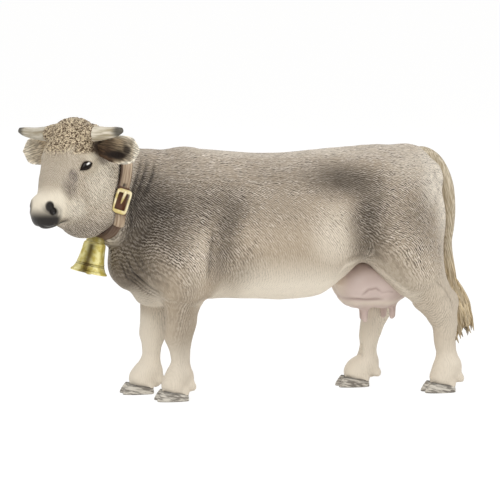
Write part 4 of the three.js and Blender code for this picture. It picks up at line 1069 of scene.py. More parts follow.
# Lines on the animal's side: distance from the chest and height, then width and depth of the groove
hide_lines = [
    ([(35, 58), (33.5, 52), (31, 45), (28, 38)], 3.0, 0.3),  # behind the shoulder
    ([(27.6, 49), (26.6, 42), (25.6, 34)], 0.7, 0.32),  # behind the upper arm
    ([(9.2, 68.2), (7.9, 64.5), (5.5, 58.9), (4.1, 52), (3.6, 48)], 0.42, 0.42),  # wrinkles of the neck
    ([(11.3, 68.2), (10, 64.5), (7.4, 58.9), (5.6, 53)], 0.42, 0.42),
    ([(13.2, 67.8), (11.8, 63), (9.6, 58.5), (7.6, 55)], 0.42, 0.38),
    ([(14.6, 66.6), (12.6, 62), (11.4, 58.6)], 0.34, 0.12),
    ([(2.1, 40.7), (4.25, 34.4), (9.05, 30.2), (14.9, 28.1)], 0.28, 0.26),  # folds of the brisket
    ([(2.6, 41.2), (5.0, 35.2), (9.8, 31), (14.8, 28.9)], 0.26, 0.24),
    ([(3.2, 41.7), (5.85, 36), (10.65, 31.7), (14.6, 29.7)], 0.28, 0.28),
    ([(4.25, 42.8), (7.45, 37.5), (12.3, 33.3)], 0.28, 0.22),
    ([(6.4, 41.8), (9.6, 36.6), (14, 32.2)], 0.28, 0.14),
    ([(9.05, 39.6), (14.9, 32.9)], 0.3, 0.14),
    ([(70, 52), (72.4, 46), (74, 41)], 1.6, 0.3),  # hollow of the flank
    ([(65, 38.4), (68, 39.6), (71, 39.8), (75, 37.6)], 0.4, 0.16),  # creases over the udder
    ([(68.5, 42.6), (72, 42), (77, 38.4)], 0.36, 0.12),
    ([(90.5, 33), (94.5, 30), (97, 26.5), (97.8, 23)], 0.32, 0.24),  # beside the hock's tendon
    ([(84, 66), (90, 58), (94, 48), (95.5, 38)], 1.8, 0.14),  # between the muscles of the thigh
    ([(15, 60), (19, 50), (20, 42), (18, 34)], 2.2, 0.2),  # between neck and shoulder
]
udder_arch = [(63.5, 33.6), (66, 37), (70.8, 38.2), (74.7, 36.2), (78.5, 33.4), (84, 28.7)]


# Trims and fills that bring brisket, throat and elbow to their outline: height, then place and reach
# along the trunk, and place and reach upwards
outline_trims = [(-1.6, 2.0, 4.0, 30.0, 4.5), (-2.6, 6.5, 3.2, 28.0, 4.0), (1.6, -0.5, 3.2, 44.5, 3.0),
                 (-1.2, 24.0, 2.2, 25.5, 2.4), (-1.5, 26.6, 2.4, 27.2, 1.8)]


def hide_relief(p):
    """How far the skin stands out of the plain muscles: grooves, ribs, spine, sinews and the small trims that
    bring neck, belly and pasterns to their outline."""
    side = p[:, [0, 2]]
    x, y, z = p.T
    flank = ease((np.abs(y) - 3.5) / 3.0)
    total = np.zeros(len(p))
    for line, width, depth in hide_lines:
        total += crease(side, line, width, depth) * flank
    ribs = np.sin((x - 0.25 * (z - 50)) / 4.6 * 2 * np.pi)
    total += ribs * 0.05 * patch(side, (50, 52), (13, 10)) * flank
    spine = hump(y, 0, 1.6) * ease((z - 66) / 2) * ease((x - 22) / 10)
    total += spine * 0.2 * ease((96 - x) / 10)
    total += soft_noise(p, 5.5, 3) * 0.12 + soft_noise(p, 2.3, 5) * 0.05
    total += soft_noise(p * np.array([1, 1, 0.3]), 1.5, 8) * 0.1 * ease((26 - z) / 6)
    high = ease((z - 60) / 6) * ease((x - 5) / 5)
    total -= high * (0.3 * ease((76 - x) / 10) + 0.1 * ease((34 - x) / 8) + 1.0 * hump(x, 16.8, 4))
    total += 0.5 * hump(x, 8.6, 2.4) * ease((z - 60) / 6)
    for amount, at_x, reach_x, at_z, reach_z in outline_trims:
        total += amount * hump(x, at_x, reach_x) * hump(z, at_z, reach_z)
    total -= 2.2 * hump(z, 10.9, 2.2) * ease((77 - x) / 1.5) * (y > 0) * (x > 60)
    total -= 0.36 * hump(z, 11, 2.6)
    return total


def near_collar(p):
    """Millimetres behind the plane where neck and head meet."""
    return -(p - neck.centre) @ neck.forward


def hide_paint(p, normal):
    """How much dark and how much pale paint each point has: soft ovals laid on the animal's side. Part of the dark
    is painted shade in the hollows and grooves, and part of the pale is painted light on the rump's edge and the
    undersides.
    """
    side = p[:, [0, 2]]
    x, y, z = p.T
    shade = np.zeros(len(p))
    # Dark ovals: the coat's darker neck and shoulder, and painted shade in the hollows behind shoulder and arm, in
    # front of the hip and in the flank
    for centre, half, lean, amount in [
        ((9, 54), (7.6, 10.5), 0, 0.97), ((7, 47), (6, 9), 0, 0.58), ((15, 52), (8, 8), 0, 0.6),
        ((23, 56), (13, 7), -8, 0.55), ((31, 46), (3.4, 9.5), -15, 0.6), ((32, 54), (6, 6), 0, 0.25),
        ((17, 43), (4, 6), -20, 0.45), ((6, 34), (7, 8), -40, 0.6), ((3, 40), (5, 9), 0, 0.38),
        ((44, 56), (14, 7), 0, 0.26), ((65.5, 61), (9.5, 4.6), 0, 0.78), ((72, 51), (5.0, 9.5), -8, 0.76),
        ((73.5, 42.5), (5, 5), 0, 0.4), ((82, 56), (9, 8), 0, 0.3), ((82, 47), (7, 6), 0, 0.2),
        ((88, 49), (5, 8), 0, 0.28), ((80, 35), (9, 4), -38, 0.14), ((52, 63), (20, 4), 0, 0.25),
        ((20, 22), (3, 14), 0, 0.25), ((33, 38), (7, 6), -20, 0.25), ((18, 67), (9, 5), 0, 0.3),
    ]:
        shade = 1 - (1 - shade) * (1 - amount * patch(side, centre, half, lean))
    along_back = ease((z - 66) / 5)
    shade *= 1 - 0.75 * along_back * ease((x - 18) / 12)
    band = ease((3.6 - near_collar(p)) / 1.6) * ease((z - 44) / 6)
    shade *= 1 - 0.6 * band
    # Painted shade in the narrow grooves
    shade = np.clip(shade + np.clip(-hide_lines_only(p) * 1.1, 0, 0.36), 0, 1)
    belly = np.minimum(1.15 * ease((42 - z) / 14), 1) * ease((x - 28) / 12) * (1 - 0.75 * ease((x - 70) / 6))
    on_leg = ease((26 - z) / 5)
    low_leg = np.where(x < 50, 0.1 + 0.5 * ease((20 - z) / 8), 0.34 + 0.26 * ease((16 - z) / 8))
    pale = belly * (1 - on_leg) + on_leg * np.where(y < 0, low_leg, 0.72)
    # Pale ovals: paler patches of the coat, and painted light along the rump's edge where it turns away from the
    # lamps
    for centre, half, lean, amount in [
        ((22.5, 39), (3, 9), -8, 0.2), ((88, 64.5), (8, 5), 0, 0.42), ((92, 59), (4, 6), 0, 0.95),
        ((93, 65), (4, 5), 0, 0.8), ((95.8, 57), (3.2, 12), 0, 1.0), ((62, 44), (6, 9), 0, 0.45),
        ((84, 38), (6, 5), -30, 0.12), ((96, 38), (2, 8), 0, 0.5),
    ]:
        pale = np.maximum(pale, amount * patch(side, centre, half, lean))
    pale = np.maximum(pale, (0.6 - 0.3 * ease((x - 64) / 8)) * along_back * (1 - ease((34 - x) / 14)))
    pale = np.maximum(pale, 0.5 * band)
    pale = np.maximum(pale, 0.75 * np.exp(-(from_line(side, udder_arch)[0] / 0.9) ** 2) * (np.abs(y) > 4))
    # Painted light on faces that look down
    pale = np.maximum(pale, ease((-normal[:, 2] - 0.3) * 1.6) * 0.7 * (1 - on_leg))
    pale = np.clip(pale * (1 - 0.6 * shade), 0, 1)
    return shade, pale


def hide_lines_only(p):
    """The narrow grooves alone, for the painted shade that lies in them."""
    side = p[:, [0, 2]]
    return sum(crease(side, line, width, depth) for line, width, depth in hide_lines if width < 1)


def comb_values(p, normal):
    """Which way the hair lies, from 0 for straight back to 90 degrees for straight down, as the shares of six
    directions 18 degrees apart. Also how well the bands cut the skin: 1, and less where it faces along them."""
    side = p[:, [0, 2]]
    z = p[:, 2]
    lie = 10 + 30 * ease((66 - z) / 10) + 18 * ease((46 - z) / 8) + 30 * ease((34 - z) / 7)
    for amount, centre, half in ((18, (9, 52), (7, 10)), (18, (50, 46), (14, 8)), (10, (90, 52), (6, 10))):
        lie += amount * patch(side, centre, half)
    lie = np.clip(lie * (1 - 0.85 * ease((normal[:, 2] - 0.45) * 4)), 0, 90)
    shares = np.clip(1 - np.abs(lie[:, None] / 18 - np.arange(6)), 0, 1)
    turned_by = np.radians(lie)
    level, across = 0.76, 0.64  # cosine and sine of the bands' tilt
    facing = (normal[:, 0] * level * np.sin(turned_by) - np.abs(normal[:, 1]) * across
              + normal[:, 2] * level * np.cos(turned_by))
    return shares[:, :3], shares[:, 3:], 1 - 0.6 * ease((np.abs(facing) - 0.8) / 0.18)


def make_hide(cell):
    """Trunk, neck and legs: a skin over the blended muscles, pushed out or in by the relief."""
    points, faces, normal = skin(hide_field(), (-10, -23, 1.5), (107, 23, 73.5), cell)
    x, z = points[:, 0], points[:, 2]
    free = ease(near_collar(points) / 1.5) * ease((z - 2.6) / 0.8)
    under = ease((-normal[:, 2] - 0.3) * 2) * ease((z - 24) / 2)
    relief = hide_relief(points) - under * 0.4 * ease((x - 28) / 4)
    shade, pale = hide_paint(points, normal)
    comb_high, comb_low, cut = comb_values(points, normal)
    side = points[:, [0, 2]]
    fur = np.clip(0.1 + 0.25 * ease((z - 14) / 10) + 0.65 * ease((z - 29) / 12), 0, 1) * free
    fur *= cut
    fur *= (1 - 0.75 * patch(side, (52, 38), (22, 10))) * (1 - 0.42 * patch(side, (50, 50), (12, 8)))
    fur *= 1 - 0.5 * patch(side, (65.5, 60), (8, 6))
    coat = points * metre
    coat[:, 1] = -np.abs(coat[:, 1])
    points = swayed(points + normal * (relief * free)[:, None])
    return new_piece("hide", points, faces, ["body"], "hide", hide_finish,
                     {"shade": shade, "pale": pale, "fur": fur},
                     {"comb_high": comb_high, "comb_low": comb_low, "coat": coat})


# The hooves


def make_hooves():
    """Each toe is a stack of squarish ovals that shrink and lean back as they rise: half length and half width
    times the height's share, with shallow growth rings and a flat sole, and painted shade in a soft band at the top
    and round the sole."""
    hoof_length, hoof_width, hoof_height, cleft = 9.1, 7.8, 3.0, 0.5
    toe_width = (hoof_width - cleft) / 2
    rows, sides = 22, 44
    rise = np.linspace(0, 1, rows)[:, None]
    turn_round = circle(sides)[None]
    size = 1 - 0.08 * rise - 0.15 * rise ** 2
    size = size + 0.006 * np.sin(rise * 5 * 2 * np.pi)
    size = size * (1 - 0.05 * ease((0.08 - rise) / 0.08))
    ahead = -0.015 - 0.09 * rise ** 1.4
    bulge = partial(squarish, power=2 / 2.3)
    parts = []
    for spec in legs.values():
        sole = place((*spec["hoof"], 0))
        for side_way in (1, -1):
            centre = sole + np.array([0, side_way * (toe_width + cleft) / 2, 0])
            x = centre[0] - ahead * hoof_length + bulge(np.cos(turn_round)) * size * hoof_length / 2
            taper = 1 - 0.12 * (bulge(np.cos(turn_round)) < 0) * np.abs(np.cos(turn_round)) ** 2
            y = centre[1] + bulge(np.sin(turn_round)) * (1 + (size - 1) * 0.6) * toe_width / 2 * taper
            z = rise * hoof_height * (1.02 - 0.42 * (1 + np.cos(turn_round)) / 2)
            parts.append(closed_tube(np.stack(np.broadcast_arrays(x, y, z), -1)))
    points, faces = join(parts)
    # Painted shade at the coronet and round the sole
    band = np.maximum(ease((rise - 0.8) / 0.2), 0.6 * ease((0.12 - rise) / 0.1)) * np.ones((1, sides))
    grime = np.tile(np.concatenate([band.ravel() * 0.75, [0, 0.8]]), len(parts))
    return new_piece("hooves", points, faces, ["body"], "hide", hoof_finish, {"grime": grime})


# The head


def soft_spots(p, *spots):
    """The most of several sprayed spots on both sides of the head: each has its amount at a centre given forward,
    left and up, and fades to 0 past its half sizes."""
    f, l, u = head.of(p)
    seen = np.stack([f, np.abs(l), u], -1)
    return np.maximum.reduce([amount * ease(1.5 - np.sqrt((((seen - centre) / half) ** 2).sum(-1)))
                              for amount, centre, half in spots])


def make_head(cell):
    """Head: a skin over its blended forms. The curls on the poll stand out between jittered points, bent by
    noise, and mouth, eyelids, cheek and jaw are engraved along lines seen from the side."""
    middle = on_head((0, 0, 0.5))
    points, faces, normal = skin(head_field(), middle - 19, middle + 19.5, cell)
    f, l, u = head.of(points)
    side = np.abs(l)
    ahead = -near_collar(points)
    free = ease((ahead - 0.2) / 1.2)
    on_side, out_side = ease((side - 0.3) / 0.8), ease(side - 5)

    crown = ease((u - 22.0 - 0.03 * side ** 2) / 3.6) * ease((f + 9.5) / 4)
    crown = np.maximum(crown, ease((u - 22.4) / 1.5) * ease((side - 4.5) / 2) * ease((f + 9) / 3))
    fringe = ease((u - 16.5) / 7.5) * ease((f - 0.5) / 3.5) * ease((7.0 - side) / 4)
    bent = points + 0.5 * np.stack([soft_noise(points, 0.8, k) for k in (11, 12, 13)], -1)
    near = hair_cells(bent, 0.66, 2.0)
    curls = crown * ((0.5 - near) * 0.5 - 0.22) + fringe * (1 - crown) * (0.5 - near) * 0.2
    curl = np.clip(crown + 0.25 * fringe, 0, 1)

    seen = np.stack([f, u], -1)
    relief = curls + soft_noise(points, 1.7, 4) * 0.05
    for line, width, depth in (
            ([(15.2, 5.0), (12.5, 4.3), (9.4, 4.5), (6.8, 5.6)], 0.3, 0.3 * on_side),  # mouth
            ([(6.5, 9), (4.5, 7.4), (2.5, 7.2)], 0.7, 0.1 * on_side),  # corner of the cheek
            ([(5.4, 19.0), (3.6, 21.6), (1.0, 22.4), (-1.2, 21.4)], 0.3, 0.14 * out_side),  # over the eye
            ([(1.0, 5.5), (-2.5, 7.5), (-4.0, 12.0)], 0.9, 0.14 * out_side)):  # edge of the jaw
        relief -= hump(from_line(seen, line)[0], 0, width) * depth
    relief -= 1.1 * hump(f, 7.2, 2.2) * hump(u, 2.6, 2.0)
    relief += 1.0 * hump(f, 13.0, 2.6) * hump(u, 4.4, 2.0)

    hole = nostril_holes(points)
    nostril = ease(1 - hole / 0.5)
    pad = ease((f - 8.9 - 0.35 * (u - 4)) / 2.4) * ease((9.9 - u) / 3.8)
    pad = np.maximum(pad, ease((f - 6.0) / 3.2) * ease((6.4 - u) / 1.8))
    pad = np.maximum(pad, 0.85 * ease(1 - hole / 2.4) * ease((11.0 - u) / 3.5))
    far_nostril = np.sqrt(((f - 15.0) / 1.8) ** 2 + ((l + 3.1) / 1.8) ** 2 + ((u - 9.0) / 2.2) ** 2)
    pad = np.maximum(pad, 0.9 * ease(1.5 - far_nostril))
    lit_rim = hump(hole, 0.75, 0.22) * ease((side - 4.3) / 0.8) * ease((9.4 - u) / 1.0)
    pad = np.clip(pad * (1 - 0.55 * lit_rim), 0, 1)
    eye_gap = np.maximum(eye_sockets(points), 0)
    rim = hump(eye_gap, 0, 0.26)
    # Painted shadow along the collar's edge, where the strap shades the cheek
    edge = ease((3.1 - ahead) / 0.7) * ease((u - 1.0) / 2)
    tear = soft_spots(points, (0.9, (6.8, 5.6, 17.0), (1.3, 2.6, 1.9)), (0.62, (7.9, 5.6, 14.2), (1.9, 2.6, 2.8)))
    under_jaw = 0.6 * ease((8.0 - u) / 6) * (1 - ease((f - 4) / 3))
    # Dark brown hair and painted shade behind the eye, under the ear and the horn
    dusk = soft_spots(points, (0.95, (-2.0, 8.4, 24.6), (2.6, 3.4, 2.6)),
                      (0.6, (-3.0, 8.4, 21.6), (2.0, 3.0, 1.8)))
    # Painted shade under the jaw
    over_nose = soft_spots(points, (0.1, (7.5, 0.0, 19.0), (3.0, 4.0, 5.0)))
    shade = np.maximum.reduce([tear, under_jaw, over_nose, 0.9 * edge])

    muzzle = 0.85 * ease((f - 6.5) / 4.0) * ease((16.5 - u) / 5) * ease((u - 5.0) / 2)
    cheeks = soft_spots(points, (0.62, (-2.5, 7.6, 15.0), (5.5, 4.5, 6.5)), (0.8, (6.0, 5.0, 8.2), (4.0, 3.2, 3.2)),
                        (0.6, (1.5, 7.6, 22.4), (2.6, 2.5, 1.8)))  # jaw, lips, and under the horn
    pale = np.maximum.reduce([muzzle, cheeks, 0.15 + 0.45 * crown])
    pale = np.clip(pale * (1 - np.clip(shade, 0, 1) * 0.5), 0, 1)
    fur = (1 - pad) * (1 - crown) * (1 - 0.85 * muzzle) * (1 - rim) * free
    fur *= 1 - soft_spots(points, (0.6, (1.0, 8.0, 21.5), (3.5, 4.0, 4.0)))
    head_paint = {"shade": shade, "pale": pale, "fur": np.clip(fur, 0, 1), "curl": curl,
                  "pad": np.clip(np.maximum(pad, nostril), 0, 1), "rim": np.clip(rim, 0, 1), "dusk": dusk}
    coat = np.stack([-f, -side, u], -1) * metre
    return new_piece("head_skin", swayed(points + normal * (relief * free)[:, None]), faces, ["head"], "face",
                     face_finish, head_paint, {"coat": coat})


def make_eyes():
    """Each eye is an almond: polar rings on an egg whose height follows the lids from corner to corner."""
    rows, sides = 24, 56
    parts, glints = [], []
    r = np.linspace(0.02, 1, rows)[:, None]
    a = circle(sides)[None]
    for centre, along, tall, out in eyes:
        x = r * np.cos(a)
        y = r * np.sin(a) * lid_height(x) * np.where(np.sin(a) < 0, low_lid, 1.0)
        z = np.sqrt(np.clip(1 - r * r, 0, 1)) * np.ones_like(a)
        front = (centre - out * 0.5 + (x * eye_half[0] * 1.03)[..., None] * along
                 + (y * eye_half[1] * 1.04)[..., None] * tall + (z * 0.85)[..., None] * out)
        back = centre - out * 0.95 + (front[-1:] - centre + out * 0.95) * 0.5
        parts.append(closed_tube(np.concatenate([front, back])))
        # Painted highlight: a small white spot up and back on each eye, in place of a lamp's reflection
        glint = hump(x, 0.42, 0.27, 4) * hump(y, 0.4, 0.18, 4)
        glints += [glint.ravel(), np.zeros(sides + 2)]
    points, faces = join(parts)
    return new_piece("eyes", points, faces, ["head"], "face", eye_finish, {"glint": np.concatenate(glints)})


# Horns and ears


def make_horns():
    """Each horn is a round bar along a curve that sweeps out and up, with the radius read from a table and
    shallow rings near the root: radius times 1 + 0.025 sin(60t)."""
    length, width = 13.4, 4.0
    rows = [(0, -0.16, 0.03, 1.2), (0, 0.1, 0.04, 1.14), (0.02, 0.36, 0.04, 0.98), (0.04, 0.62, 0.055, 0.8),
            (0.06, 0.84, 0.09, 0.66), (0.07, 0.955, 0.115, 0.46)]
    steps, sides = 60, 36
    for name, way in (("left", 1), ("right", -1)):
        root = on_head((0, 0.66 * way, 0.835))
        rise = 1.0 if way < 0 else 0.72
        line = [root + length * (f * head.forward + l * way * head.left + h * rise * head.up)
                for f, l, h, _ in rows]
        section = lambda t, a: 1 + 0.025 * np.sin(t * 60) * ease((0.55 - t) * 3) + 0.02 * np.sin(a * 5 + t * 3)
        points, faces = tapered_bar(line, [row[3] * width / 2 for row in rows], steps, sides, up, section)
        f, l, h = head.of(points)
        out = (l * way - 0.66 * head_width / 2) / length
        lay = np.stack([l, np.cos(np.arctan2(h - 28, f)) * 2, np.sin(np.arctan2(h - 28, f)) * 2], -1) * metre
        # The right horn also gets painted shade all over, besides its grey-black tip
        new_piece(name + "_horn_painted", points, faces, [name + "_horn"], "horn", horn_finish,
                  {"tip": np.maximum(ease((out - 0.72) / 0.2) * 0.9, 0.28 if way < 0 else 0)}, {"lay": lay})


# Ear from root to tip: share of the length, and share of the half height
ear_table = [(0, 0.5), (0.16, 0.52), (0.34, 0.78), (0.56, 1), (0.76, 0.97), (0.9, 0.78), (0.97, 0.52), (1, 0.2)]


def make_ears():
    """Each ear is a leaf: at each step from root to tip a thin lens-shaped section whose half height is read
    from a table, sunk in its middle by the cup depth times 1 - s squared, where s runs from edge to edge."""
    height, thickness, cup = 7.8, 1.3, 1.7
    rows, sides = 72, 80
    t = np.linspace(0, 1, rows)[:, None]
    a = circle(sides)[None]
    s, face = -np.cos(a), np.sin(a)
    blunt = np.sqrt(np.clip(1.02 - np.clip((t - 0.86) / 0.14, 0, 1) ** 2, 0.02, 1))
    half = read_table(ear_table, 1, t) * height / 2 * blunt
    whole = np.ones((rows, sides))
    for name, way, length in (("left", 1, 14.4), ("right", -1, 15.4)):
        root = on_head((-0.08, 0.78 * way, 0.717))
        along = unit(head.left * way - up * 0.03 - head.forward * 0.1)
        over = unit(np.cross(along, head.forward * way))
        front = -way * np.cross(along, over)
        depth = -cup * (1 - s * s) * ease(t * 2.4 - 0.45) * np.minimum(1, (1 - t) * 4)
        wall = face * thickness / 2 * (1 - 0.35 * t) * (0.75 + 0.45 * np.abs(s) ** 2)
        centre = root + along * (-thickness + (length + thickness) * t)[..., None]
        flat = (centre + over * (s * half)[..., None] + front * (depth + wall)[..., None]).reshape(-1, 3)
        ruffle = soft_noise(flat, 0.9, 6) * 0.1 + soft_noise(flat, 2.6, 9) * 0.12
        fringe = (np.sign(s) * np.abs(s) ** 3 * whole).ravel() * soft_noise(flat, 0.7, 14) * 0.14
        flat = flat + front * ruffle[:, None] + over * fringe[:, None]
        points, faces = closed_tube(flat.reshape(rows, sides, 3))
        inner = (face > 0) * (1.0 if way > 0 else 0.0)
        # Near-black in the cup of the left ear: dark hair and painted shade
        deep = ease(1.5 - np.hypot((t - 0.5) / 0.22, (s - 0.4) / 0.34))
        fold = 0.9 * ease(1.5 - np.hypot((t - 0.67) / 0.09, (s - 0.05) / 0.42))
        dark = inner * np.maximum(deep, fold)
        rim = ease((np.abs(s) - 0.74) / 0.2) * ease((t - 0.4) / 0.3) + ease((t - 0.8) / 0.14)
        rim = np.clip(rim, 0, 1) * (0.85 if way > 0 else 0.35) + 0.3 * ease((t - 0.55) / 0.2)
        brown = 0.95 * ease((0.62 - t) / 0.3) * (0.75 + 0.25 * s) + 0.25
        shade = inner * brown * (1 - rim) + (1 - inner) * 0.3 * ease((0.8 - t) / 0.5)
        ends = lambda v: np.clip(np.concatenate([(v * whole).ravel(), [0, 0]]), 0, 1)  # and the two end caps
        lay = np.stack([(t * length * whole).ravel(), (s * half * whole).ravel(), (wall * whole).ravel()], -1)
        lay = np.concatenate([lay, lay[:1], lay[-1:]]) * metre
        new_piece(name + "_ear_painted", points, faces, [name + "_ear"], "ear", ear_finish,
                  {"dark": ends(dark), "rim": ends(rim), "shade": ends(shade)}, {"lay": lay})


# The tail


def make_tail():
    """The stem is a round bar down the rump. The switch is the same bar, swollen and fluted into locks by
    waves round it that wind down its length, with loose pointed locks laid over its lower half."""
    width = 3.0
    rows = [(0.885, 0, 0.945, 1.5), (0.925, 0, 0.959, 1.5), (0.961, 0, 0.938, 1.32), (0.987, 0, 0.889, 1.2),
            (1.003, 0, 0.823, 1.2), (1.009, 0, 0.74, 1.14), (1.009, 0, 0.665, 0.95), (1.002, 0, 0.6, 0.98),
            (1.004, 0, 0.53, 1.15), (1.01, 0, 0.45, 1.3), (1.018, 0, 0.37, 1.5), (1.044, 0, 0.31, 1.6),
            (1.058, 0, 0.262, 1.2)]
    line = [place(row) for row in rows]
    radii = [row[3] * width / 2 for row in rows]

    def flutes(t, a):
        """Radius share: 1 on the stem, and waves round the switch that grow in from 0.6 of the length."""
        grown = ease((t - 0.6) / 0.15)
        wave = np.abs(np.sin(a * 3.5 + t * 9)) ** 0.7 * 0.7 + np.abs(np.sin(a * 5.5 - t * 14 + 1)) * 0.3
        return 1 + grown * (wave - 0.75) * 0.42
    parts = [tapered_bar(line, radii, 150, 56, animal.left, flutes)]
    rng = np.random.default_rng(7)
    for _ in range(46):
        start = rng.uniform(0.0, 0.62)
        turn_at = rng.uniform(0, 2 * np.pi)
        spread = rng.uniform(0.55, 1.0)
        a0 = place((1.005, 0, 0.48)) * (1 - start) + place((1.05, 0, 0.31)) * start
        lean = rng.uniform(0.3, 0.52) if start < 0.3 else rng.uniform(-0.1, 0.5)
        reach = rng.uniform(13, 17) * (1.1 - 0.3 * start - 0.3 * lean)
        down = unit(np.array([lean, rng.uniform(-0.1, 0.1), -1]))
        around = np.array([math.cos(turn_at), math.sin(turn_at), 0.35 * math.cos(turn_at)])
        r0 = 1.0 + 0.7 * min(start * 2, 1)
        wave = rng.uniform(-0.35, 0.35)
        bends = [a0 + down * reach * share + around * off for share, off in (
            (0, r0 * 0.7), (0.3, r0 * 1.05), (0.62, r0 * 0.95 + wave), (0.85, r0 * 0.7), (1, r0 * 0.5 * spread))]
        parts.append(tapered_bar(bends, [0.35, 0.62, 0.55, 0.36, 0.08], 26, 10, animal.left))
    points, faces = join(parts)
    t = ease((42 - points[:, 2]) / 9)
    axis_x = read_table([(row[2] * withers, row[0] * trunk_length) for row in rows[::-1]], 1, points[:, 2])
    off = np.hypot(points[:, 0] - axis_x, points[:, 1])
    radius = read_table([(row[2] * withers, row[3] * width / 2) for row in rows[::-1]], 1, points[:, 2])
    # Painted shade in the valleys between the locks
    groove = np.clip((0.86 - off / np.maximum(radius, 0.4)) * 3.2, 0, 1) * t
    limits = np.array(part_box("tail")) / metre - stand
    points = np.clip(points, limits[0], limits[1])
    return new_piece("tail_painted", points, faces, ["tail"], "switch", switch_finish,
                     {"tawny": t, "groove": groove * 0.62})


# The udder

udder_half = np.array([23.0, 19.0, 15.5]) / 2
udder_middle = place((0.765, 0, 0.44))
teat_drop = 6.5


def on_udder(share):
    """A place forward, left and up of the udder's middle, from shares of its half sizes."""
    f, l, h = np.array(share) * udder_half
    return udder_middle + f * animal.forward + l * animal.left + h * up


def make_udder(cell):
    """Udder: a skin over five blended eggs and four teats, tapered round bars, lifted where the belly rises, with
    furrows engraved along lines seen from the side."""
    quarters = [((0.1, 0, 0.02), (0.86, 0.9, 0.92)), ((-0.36, 0.3, -0.14), (0.72, 0.66, 0.8)),
                ((-0.36, -0.3, -0.14), (0.72, 0.66, 0.8)), ((0.3, 0.28, -0.08), (0.6, 0.66, 0.82)),
                ((0.3, -0.28, -0.08), (0.6, 0.66, 0.82))]
    bag = blend(1.5, [egg(animal, on_udder(at), np.array(reach) * udder_half) for at, reach in quarters])
    teats = []
    for at in [(0.14, 0.32, -0.6), (0.05, -0.32, -0.6), (-0.58, 0.3, -0.6), (-0.5, -0.3, -0.6)]:
        root = on_udder(at)
        teats.append(limb([(root - up * teat_drop * share, radius)
                           for share, radius in ((0, 1.25), (0.45, 0.98), (0.88, 0.8))]))
    field = blend(1.6, [bag, *teats])
    points, faces, normal = skin(field, (62, -11, 19), (91, 11, 43), cell)
    x, y, z = points.T
    lift = (2.7 * ease((71 - x) / 6) + 1.2 * ease((x - 80) / 5)) * ease((32 - z) / 5)
    points = points + lift[:, None] * up
    z = points[:, 2]
    side = points[:, [0, 2]]
    relief = soft_noise(points, 2.6, 2) * 0.06
    for line, width, depth in (([(72.3, 27.6), (74.3, 29.4), (76.6, 29.8), (78.4, 28.6)], 0.34, 0.26),
                               ([(67.5, 26.9), (73.9, 26.5), (79.5, 26.6)], 0.4, 0.26),
                               ([(77.5, 28.3), (80, 28.8), (82, 28.6)], 0.3, 0.14)):
        relief += crease(side, line, width, depth)
    # Painted shade in the furrows
    furrow = np.clip(-relief * 2.2, 0, 0.55)
    relief -= 0.35 * hump(y, 0, 0.8) * ease((34 - z) / 4)
    teat = ease((25.0 - z) / 1.6)
    blush = np.clip(0.12 + teat * 0.2 + ease((z - 33) / 4) * 0.5, 0, 1)
    # Paler where the udder meets the belly, and painted light on the plate above the teats
    belly = np.maximum(ease((69.5 - x) / 4), 0.75 * hump(z, 25.4, 0.9))
    return new_piece("udder_painted", points + normal * relief[:, None], faces, ["udder"], "udder",
                     udder_finish, {"furrow": furrow, "blush": blush, "belly": belly})


# The collar

strap_overlap = 11.0  # length that lies on itself
layer_drop_turn = 60.0  # how far round the upper layer takes to come down
bend_radius = 9.6  # of the strap at the buckle
overlap_turn = math.degrees(strap_overlap / collar_half[0])
tip_turn = buckle_turn - overlap_turn * 0.68
strap_end_turn = tip_turn + overlap_turn


